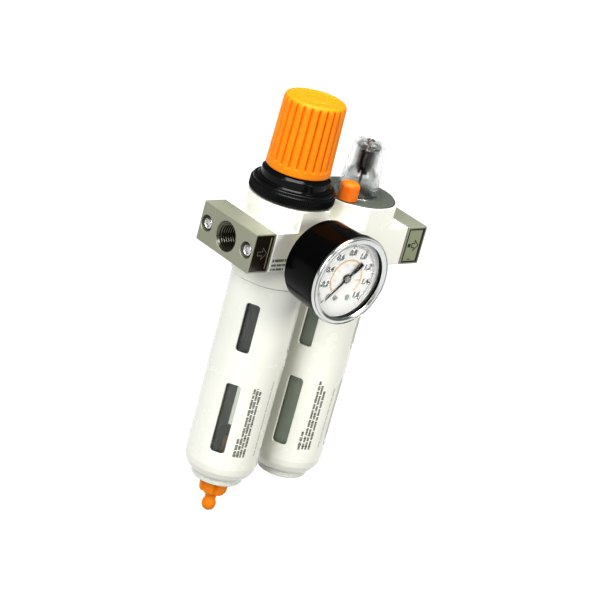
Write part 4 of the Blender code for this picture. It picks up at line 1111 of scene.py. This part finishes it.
piece("gauge_bezel_fine", lathe(bezel, 192, G, steps=4), "root", M_BEZEL, "gauge_bezel")
lens = [(0, 49.4), (18.6, 49.4), (18.6, 47.9), (20.3, 47.9), (20.3, 50.1), (0, 50.1)]
piece("gauge_lens_fine", lathe(lens, 144, G), "root", M_LENS, "gauge_lens")
piece("gauge_dial_fine", lathe([(1.5, 46.7), (18.6, 46.7), (18.6, 47.3, 0.1), (1.5, 47.3, 0.1)], 144, G), "root", M_DIAL, "gauge_dial")

FACE = 47.3


def dial_angle(value):
    """Angle in the gauge's frame of a value from 0 to 1.6."""
    return math.radians(225.0 - 270.0 * value / 1.6)


def polar_box(a, r0, r1, width, z0, z1):
    d = Vector((math.cos(a), math.sin(a)))
    s = Vector((-d.y, d.x)) * width / 2
    pts = [tuple(d * r0 - s), tuple(d * r1 - s), tuple(d * r1 + s), tuple(d * r0 + s)]
    return slab(pts, z0, z1, at=G)


def arc_band(r0, r1, a0, a1, z0, z1, n):
    bm = bmesh.new()
    sets = []
    for k in range(n + 1):
        a = a0 + (a1 - a0) * k / n
        sets.append([bm.verts.new((r * math.cos(a), r * math.sin(a), z)) for r, z in ((r0, z0), (r1, z0), (r1, z1), (r0, z1))])
    bm.faces.new(sets[0])
    bm.faces.new(sets[-1][::-1])
    for a, b in zip(sets, sets[1:]):
        for k in range(4):
            j = (k + 1) % 4
            bm.faces.new((a[k], b[k], b[j], a[j]))
    return to_mesh(bm, G)


ticks = []
for k in range(81):
    a = dial_angle(k * 0.02)
    if k % 10 == 0:
        ticks.append(polar_box(a, 14.2, 16.0, 0.46, FACE - 0.05, FACE + 0.03))
    elif k % 5 == 0:
        ticks.append(polar_box(a, 14.6, 16.0, 0.36, FACE - 0.05, FACE + 0.03))
    else:
        ticks.append(polar_box(a, 14.9, 16.0, 0.26, FACE - 0.05, FACE + 0.03))
piece("dial_ticks", merge(ticks), "root", M_DIAL_BLACK, angle=20, weighted=False)
piece("dial_arc", arc_band(8.35, 9.15, dial_angle(0), dial_angle(1.6), FACE - 0.05, FACE + 0.025, 90), "root", M_DIAL_PEACH,
      angle=20, weighted=False)
inner = []
for k in range(24):
    a = math.radians(225.0 - 270.0 * k / 23.0)
    inner.append(polar_box(a, 7.85 if k % 5 else 7.6, 8.5, 0.16, FACE - 0.05, FACE + 0.02))
piece("dial_arc_ticks", merge(inner), "root", M_DIAL_PEACH, angle=20, weighted=False)


def numeral(text, x, y, size, bold=0.03):
    """Numeral as a thin solid on the dial face, in the gauge's frame."""
    data = bpy.data.curves.new("numeral", "FONT")
    data.body = text
    data.size = size
    data.align_x = "CENTER"
    data.align_y = "CENTER"
    data.extrude = 0.035
    data.offset = bold
    data.resolution_u = 4
    data.shear = 0.2
    ob = bpy.data.objects.new("numeral", data)
    scene.collection.objects.link(ob)
    bpy.context.view_layer.update()
    mesh = bpy.data.meshes.new_from_object(ob.evaluated_get(bpy.context.evaluated_depsgraph_get()))
    bpy.data.objects.remove(ob, do_unlink=True)
    bm = bmesh.new()
    bm.from_mesh(mesh)
    bmesh.ops.remove_doubles(bm, verts=bm.verts, dist=1e-5)
    bm.transform(Matrix.Scale(MM, 4) @ G @ Matrix.Translation((x, y, FACE)))
    out = bpy.data.meshes.new("numeral")
    bm.to_mesh(out)
    bm.free()
    return out


labels = []
for value, text in ((0.0, "0"), (0.2, "0,2"), (0.4, "0,4"), (0.6, "0,6"), (0.8, "0,8"), (1.0, "1,0"), (1.2, "1,2"), (1.4, "1,4"), (1.6, "1,6")):
    a = dial_angle(value)
    labels.append(numeral(text, 12.0 * math.cos(a), 12.1 * math.sin(a) + 0.1, 3.5, 0.12))
piece("dial_numbers", merge(labels), "root", M_DIAL_BLACK, angle=20, weighted=False)
small = []
for k, text in enumerate(("0", "40", "80", "120", "160", "200", "240")):
    a = math.radians(225.0 - 270.0 * k / 6.9)
    small.append(numeral(text, 6.6 * math.cos(a), 6.5 * math.sin(a), 1.45))
piece("dial_small_numbers", merge(small), "root", M_DIAL_PEACH, angle=20, weighted=False)
for label, x in (("a", -3.6), ("b", 3.6)):
    rivet = carve(lathe([(0, FACE - 0.3), (1.35, FACE - 0.3), (1.35, FACE + 0.05, 0.05), (1.15, FACE + 0.3, 0.15), (0, FACE + 0.42)], 48, G @ up(x, -9.4)),
                  [(CUT, rounded_box(-1.6, 1.6, -0.16, 0.16, FACE + 0.14, FACE + 1.0, 0.0, at=G @ up(x, -9.4) @ Matrix.Rotation(0.7, 4, "Z")))])
    piece("dial_rivet_" + label, rivet, "root", M_RIVET)

# needle
ca, sa = math.cos(math.radians(225)), math.sin(math.radians(225))
blade = [(14.1, -0.1), (14.1, 0.1), (9.5, 0.26), (3.0, 0.45), (-3.4, 0.5), (-3.9, 0.62), (-4.3, 1.05), (-9.4, 1.25), (-9.75, 1.05), (-9.75, -1.05), (-9.4, -1.25), (-4.3, -1.05),
         (-3.9, -0.62), (-3.4, -0.5), (3.0, -0.45), (9.5, -0.26)]
blade = [(x * ca - y * sa, x * sa + y * ca) for x, y in blade]
needle = carve(slab(blade, 47.95, 48.35, 0.0, 0.08, G, 2), [(ADD, lathe([(0, 47.6), (2.05, 47.6), (2.05, 48.45, 0.12), (0, 48.45)], 48, G))])
piece("gauge_needle_fine", needle, "needle", M_NEEDLE, "gauge_needle")
hub = [(0, 48.4), (1.6, 48.4), (1.65, 48.55, 0.08), (1.4, 48.8), (1.0, 48.93), (0.5, 49.0), (0, 49.02)]
piece("needle_hub_cap", lathe(hub, 64, G), "needle", M_HUB)

rear = carve(lathe([(0, 10.4), (4.2, 10.4), (4.6, 10.9), (4.6, 18.1), (4.1, 18.7, 0.15), (0, 18.7)], 64, back(FX)),
             [(CUT, lathe([(0, 15.0), (2.7, 15.0), (2.85, 18.3), (3.2, 19.2), (0, 19.2)], 6, back(FX)))])
piece("rear_port_plug_fine", rear, "root", M_STEEL, "rear_port_plug")

# =====================================================================================
# lubricator head
# =====================================================================================
cover = carve(lathe([(6.0, 17.6), (18.2, 17.6), (18.2, 19.25, 0.15), (17.95, 19.5, 0.1), (6.0, 19.5)], 144, up(LX)), [
    (CUT, rod(2.8, 16, 21, 32, up(59.2, -7.7))),
    (CUT, rod(1.9, 16, 21, 24, up(LX, 9.6))),
])
piece("lubricator_cover_fine", cover, "root", M_COVER, "lubricator_cover")
piece("dome_ring", lathe([(8.75, 19.42), (10.8, 19.42), (10.8, 19.75, 0.12), (10.2, 19.9, 0.05), (8.75, 19.9)], 96, up(LX)), "root", M_RING)
dome = [(9.9, 19.95, 0.05), (9.9, 20.7, 0.2), (9.45, 21.4, 0.3), (9.0, 30.0), (8.3, 40.0, 3.0), (7.6, 42.9, 1.2), (6.2, 44.8, 1.2), (4.0, 45.7, 0.6), (2.5, 45.7, 0.15),
        (2.5, 44.7), (4.7, 44.1, 0.8), (6.3, 42.4, 1.2), (7.15, 39.6, 2.0), (8.0, 29.6), (8.5, 21.2), (8.7, 19.95)]
piece("sight_dome_fine", lathe(dome, 96, up(LX), steps=5), "root", M_SHELL, "sight_dome")
tube = [(8.1, 19.95), (7.3, 27.6, 0.8), (6.9, 29.3, 0.6), (5.6, 31.8, 0.8), (5.6, 42.0, 0.5), (5.2, 42.9, 0.3), (2.7, 43.1, 0.1), (2.7, 42.0), (4.6, 41.4, 0.3),
        (4.6, 31.2, 0.5), (6.0, 28.6, 0.5), (6.9, 19.95)]
piece("drip_tube_fine", lathe(tube, 96, up(LX), steps=5), "root", M_DOME, "drip_tube")


# the sleeve is slotted through, so two dark columns stand either side of the needle
facing = Matrix.Rotation(math.radians(-45.0), 4, "Z")
sleeve = carve(lathe([(1.6, 29.0), (2.4, 29.0, 0.2), (3.8, 33.2, 0.4), (3.9, 39.8), (3.7, 40.4, 0.15), (1.6, 40.4)], 96, up(LX)), [
    (CUT, rounded_box(-0.95, 0.95, -6.0, 6.0, 31.0, 39.6, 0.3, 3, up(LX) @ facing)),
])
piece("drip_sleeve_fine", sleeve, "root", M_AMBER, "drip_sleeve", angle=50)
drip = carve(lathe([(0, 24.0), (0.5, 25.0), (0.9, 28.0), (0.9, 43.2), (2.1, 43.2, 0.1), (2.1, 45.3, 0.25), (0, 45.5)], 48, up(LX)),
             [(CUT, rounded_box(-0.3, 0.3, -3, 3, 44.8, 46, 0.0, at=up(LX) @ facing))])
piece("drip_needle_fine", drip, "drip_needle", M_STEEL, "drip_needle")


def plug_body():
    bm = bmesh.new()
    rings = []
    for half, z in ((4.1, 0.0), (4.22, 0.08), (4.3, 0.35), (4.3, 5.9), (4.26, 6.5), (4.12, 7.15), (3.85, 7.65), (3.4, 8.0), (2.8, 8.2), (1.6, 8.3)):
        ring = []
        for k in range(96):
            a = TAU * k / 96
            local = (a % (math.pi / 3)) - math.pi / 6
            flat = half / math.cos(local)
            r = min(flat, half * 1.10) - 0.25 * max(0.0, (flat / half - 1.05))
            ring.append(bm.verts.new((r * math.cos(a), r * math.sin(a), 19.8 + z)))
        rings.append(ring)
    bm.faces.new(rings[0][::-1])
    bm.faces.new(rings[-1])
    for a, b in zip(rings, rings[1:]):
        for k in range(96):
            n = (k + 1) % 96
            bm.faces.new((a[k], a[n], b[n], b[k]))
    return to_mesh(bm, up(59.2, -7.7))


piece("oil_fill_plug_fine", carve(plug_body(), [(ADD, rod(2.3, 9.0, 20.2, 32, up(59.2, -7.7)))]), "fill_plug", M_PLUG, "oil_fill_plug",
      angle=40)

# =====================================================================================
# stage: floor, soft light, camera
# =====================================================================================
floor_mat = Graph("pale_floor")
floor_tint = floor_mat.ramp(floor_mat.noise(3.0, 3.0), [(0.3, (0.14, 0.14, 0.14)), (0.7, (0.16, 0.16, 0.16))])
floor_mat.set(Specular_IOR_Level=0.0, Emission_Strength=0.95, Emission_Color=(1.0, 1.0, 1.0, 1.0))
floor_mat.finish(floor_tint, floor_mat.span(floor_mat.noise(40.0), 0.6, 0.75))
# the backdrop looks white, but it throws less light back on the enamel than a white one would
shine = floor_mat.span(floor_mat.nodes.new("ShaderNodeLightPath").outputs["Is Diffuse Ray"], 0.95, 0.3)
floor_mat.link(shine, floor_mat.shader.inputs["Emission Strength"])
bm = bmesh.new()
bmesh.ops.create_circle(bm, cap_ends=True, segments=96, radius=9.0)
floor_mesh = bpy.data.meshes.new("floor")
bm.to_mesh(floor_mesh)
bm.free()
floor_mesh.materials.append(floor_mat.mat)
floor = bpy.data.objects.new("floor", floor_mesh)
floor.location = (0.05, 0.0, -0.1425)
scene.collection.objects.link(floor)

world = bpy.data.worlds.new("studio")
world.use_nodes = True
world.node_tree.nodes["Background"].inputs["Color"].default_value = (0.93, 1.0, 0.93, 1.0)
world.node_tree.nodes["Background"].inputs["Strength"].default_value = 0.24
scene.world = world

centre = Vector((0.052, -0.01, -0.03))


def soft_light(name, azimuth, elevation, distance, size, power, color=(1, 1, 1)):
    a, e = math.radians(azimuth), math.radians(elevation)
    data = bpy.data.lights.new(name, "AREA")
    data.shape = "RECTANGLE"
    data.size, data.size_y = size
    data.energy = power
    data.color = color
    ob = bpy.data.objects.new(name, data)
    ob.location = centre + Vector((math.sin(a) * math.cos(e), -math.cos(a) * math.cos(e), math.sin(e))) * distance
    ob.rotation_euler = (centre - ob.location).to_track_quat("-Z", "Y").to_euler()
    scene.collection.objects.link(ob)


# azimuth from the front, positive towards +X
soft_light("key", -73, 30, 1.3, (0.6, 0.8), 14.0)
soft_light("front", 10, 26, 1.3, (0.35, 0.45), 7.5, (1.0, 0.97, 0.92))
soft_light("top", -50, 86, 1.2, (0.7, 0.7), 21)
scene.view_settings.view_transform = "Standard"
scene.view_settings.gamma = 0.78

AZ, EL, ROLL, DIST, FOCAL = math.radians(45.033), math.radians(20.71), math.radians(15.355), 1.15155, 2519.77
away = Vector((-math.sin(AZ) * math.cos(EL), -math.cos(AZ) * math.cos(EL), math.sin(EL)))
target = Vector((0.052, -0.010, -0.030))
level = Vector((math.cos(AZ), -math.sin(AZ), 0.0))
rise = away.cross(level)
if rise.z < 0:
    rise = -rise
right_ = level * math.cos(ROLL) + rise * math.sin(ROLL)
up_ = -level * math.sin(ROLL) + rise * math.cos(ROLL)
# aim a little left and up of the target, so that the frame needs no lens shift
look = (-away + right_ * (-10.796 / FOCAL) + up_ * (1.14 / FOCAL)).normalized()
right_ = (right_ - look * right_.dot(look)).normalized()
up_ = right_.cross(look)
cam_data = bpy.data.cameras.new("camera")
cam_data.sensor_width = 36.0
cam_data.lens = FOCAL / 600.0 * 36.0
cam_data.clip_start, cam_data.clip_end = 0.05, 60.0
camera = bpy.data.objects.new("camera", cam_data)
basis = Matrix((right_, up_, -look)).transposed()
camera.matrix_world = Matrix.Translation(target + away * DIST) @ basis.to_4x4()
scene.collection.objects.link(camera)
scene.camera = camera
